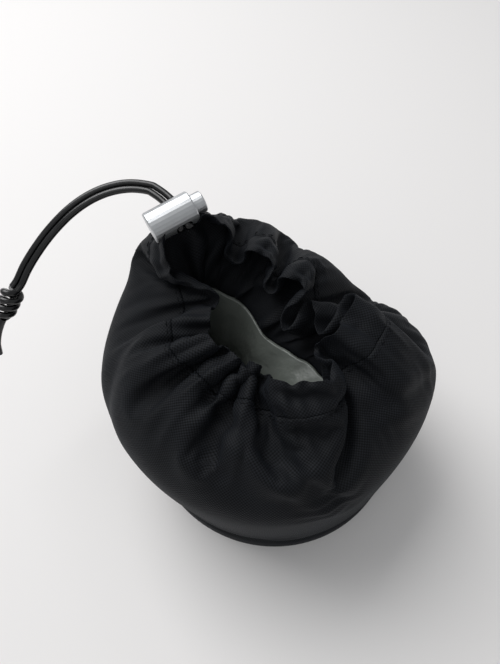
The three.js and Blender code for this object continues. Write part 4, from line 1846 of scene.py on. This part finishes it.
    def build_tapes(self) -> list[bpy.types.Object]:
        """Makes the tapes over the side seam and over the base seam.

        Returns:
            The pieces.
        """
        step = self.cloth.across_step
        half = round(self.tape_width / 2 / step)
        width = 2 * half + 1
        heights = np.arange(self.tape_foot, self.tape_top, self.tape_step)
        thickness = self.tape_thickness
        grid = np.roll(self.inner_grid(self.tape_depth, heights), half, 1)[:, :width]
        places = flat_places(heights, np.arange(width) * step)
        side = sew("side_tape", grid, places, TAPE, "side_seam_tape", thickness, wraps=False)
        low = np.array(self.ring_heights)
        grid = self.inner_grid(self.tape_depth, low)
        places = flat_places(low, self.cloth.along)
        return [side, sew("base_tape", grid, places, TAPE, "base_seam_tape", thickness)]

    def stitch_template(self) -> bpy.types.Mesh:
        """Makes one stitch of thread: a short bar along x with rounded, sunk ends.

        Returns:
            Its mesh.
        """
        deselect()
        bpy.ops.mesh.primitive_cylinder_add(
            vertices=self.thread_corners,
            radius=self.thread_radius * MM,
            depth=self.stitch_length * MM,
            rotation=(0, math.pi / 2, 0),
        )
        bar = bpy.context.object
        bpy.ops.object.transform_apply(location=False, rotation=True, scale=False)
        bpy.ops.object.mode_set(mode="EDIT")
        bpy.ops.mesh.select_all(action="SELECT")
        bpy.ops.mesh.subdivide(number_cuts=1)
        bpy.ops.object.mode_set(mode="OBJECT")
        half = self.stitch_length / 2 * MM
        for vertex in bar.data.vertices:
            share = abs(vertex.co.x) / half
            vertex.co.z -= self.thread_radius * MM * self.thread_sink * share**2
            vertex.co.y *= 1 - self.thread_taper * share**2
        mesh = bar.data.copy()
        bpy.data.objects.remove(bar)
        return mesh

    def build_stitches(self) -> list[bpy.types.Object]:
        """Makes the line of stitches that closes the channel.

        Returns:
            The piece.
        """
        spot = (self.cloth.stitch_height - self.stitch_above) / self.up[1]
        line = mix_rows(self.skin, spot)
        normal = unit(mix_rows(self.out, spot))
        line, normal = (np.vstack([rows, rows[:1]]) for rows in (line, normal))
        walked = np.concatenate([[0], np.cumsum(np.linalg.norm(np.diff(line, axis=0), axis=1))])
        count = int(walked[-1] / self.stitch_pitch)
        template = self.stitch_template()
        parts = []
        for i in range(count):
            at = (i + 0.5) * walked[-1] / count
            spots = ((at, line), (at + self.stitch_look, line), (at, normal))
            place, ahead, up = (
                np.array([np.interp(spot, walked, values) for values in rows.T])
                for spot, rows in spots
            )
            along = unit(ahead - place)
            up = unit(up)
            up = unit(up - along * (up @ along))
            origin = (place + up * self.thread_radius * self.thread_lift) * MM
            turned = np.column_stack([along, np.cross(up, along), up, origin])
            mesh = template.copy()
            mesh.transform(Matrix([*turned.tolist(), [0, 0, 0, 1]]))
            parts.append(add_object(f"stitch_{i}", mesh))
        stitches = join(parts, "stitch_line")
        shade_smooth(stitches)
        return [dress(stitches, THREAD, "channel_stitching")]

    def build(self) -> list[bpy.types.Object]:
        """Makes every sewn piece.

        Returns:
            The pieces.
        """
        shell = self.build_wall() + self.build_channel() + self.build_base()
        return shell + self.build_lining() + self.build_tapes() + self.build_stitches()


# ---------------------------------------------------------------------------------------------
# Studio
# ---------------------------------------------------------------------------------------------


@dataclass
class Studio:
    """A pale table top, lit by a soft window at the back left and the room. Sizes are in metres."""

    floor_size: float = 6.0
    floor_colour: str = "e9e7e6"
    floor_roughness: float = 0.6
    floor_specular: float = 0.2
    lamps: tuple[tuple[str, Point, float, float], ...] = (
        ("Window", (-0.52, 0.45, 1.0), 0.9, 12.0),
        ("Room", (-0.25, -0.55, 0.95), 0.6, 0.7),
    )
    aim: Point = (0, 0, 0.05)
    world_colour: str = "f4f6f8"
    world_strength: float = 0.43

    def build(self) -> None:
        """Makes the floor, the lamps and the world."""
        deselect()
        bpy.ops.mesh.primitive_plane_add(size=self.floor_size)
        floor = bpy.context.object
        floor.name = "table_top"
        # White painted table top: matt, very slightly warm.
        material = bpy.data.materials.new("White table top")
        material.use_nodes = True
        shader = material.node_tree.nodes["Principled BSDF"]
        shader.inputs["Base Color"].default_value = linear(self.floor_colour)
        shader.inputs["Roughness"].default_value = self.floor_roughness
        shader.inputs["Specular IOR Level"].default_value = self.floor_specular
        floor.data.materials.append(material)
        for name, place, size, power in self.lamps:
            data = bpy.data.lights.new(name, "AREA")
            data.size = size
            data.energy = power
            lamp = add_object(name, data)
            lamp.location = place
            away = Vector(self.aim) - Vector(place)
            lamp.rotation_euler = away.to_track_quat("-Z", "Y").to_euler()
        world = bpy.data.worlds.new("Room")
        world.use_nodes = True
        background = world.node_tree.nodes["Background"]
        background.inputs[0].default_value = linear(self.world_colour)
        background.inputs[1].default_value = self.world_strength
        bpy.context.scene.world = world
        bpy.context.scene.view_settings.view_transform = "Standard"


def main() -> None:
    """Builds the whole scene in order and reports each piece."""
    logging.basicConfig(level=logging.INFO, format="%(name)s: %(message)s")
    Viewpoint().build()
    cords = CordPair()
    pieces = cords.build() + CordLock(cords).build()
    cloth = ShellCloth(folds=MOUTH_FOLDS)
    cloth.build()
    body = PouchBody(cloth)
    pieces += body.build() + cords.build_hidden(body.channel_middle())
    for piece in pieces:
        LOG.info("%s: %s", piece.name, piece.data.materials[0].name)
    Studio().build()


if __name__ == "__main__":
    main()
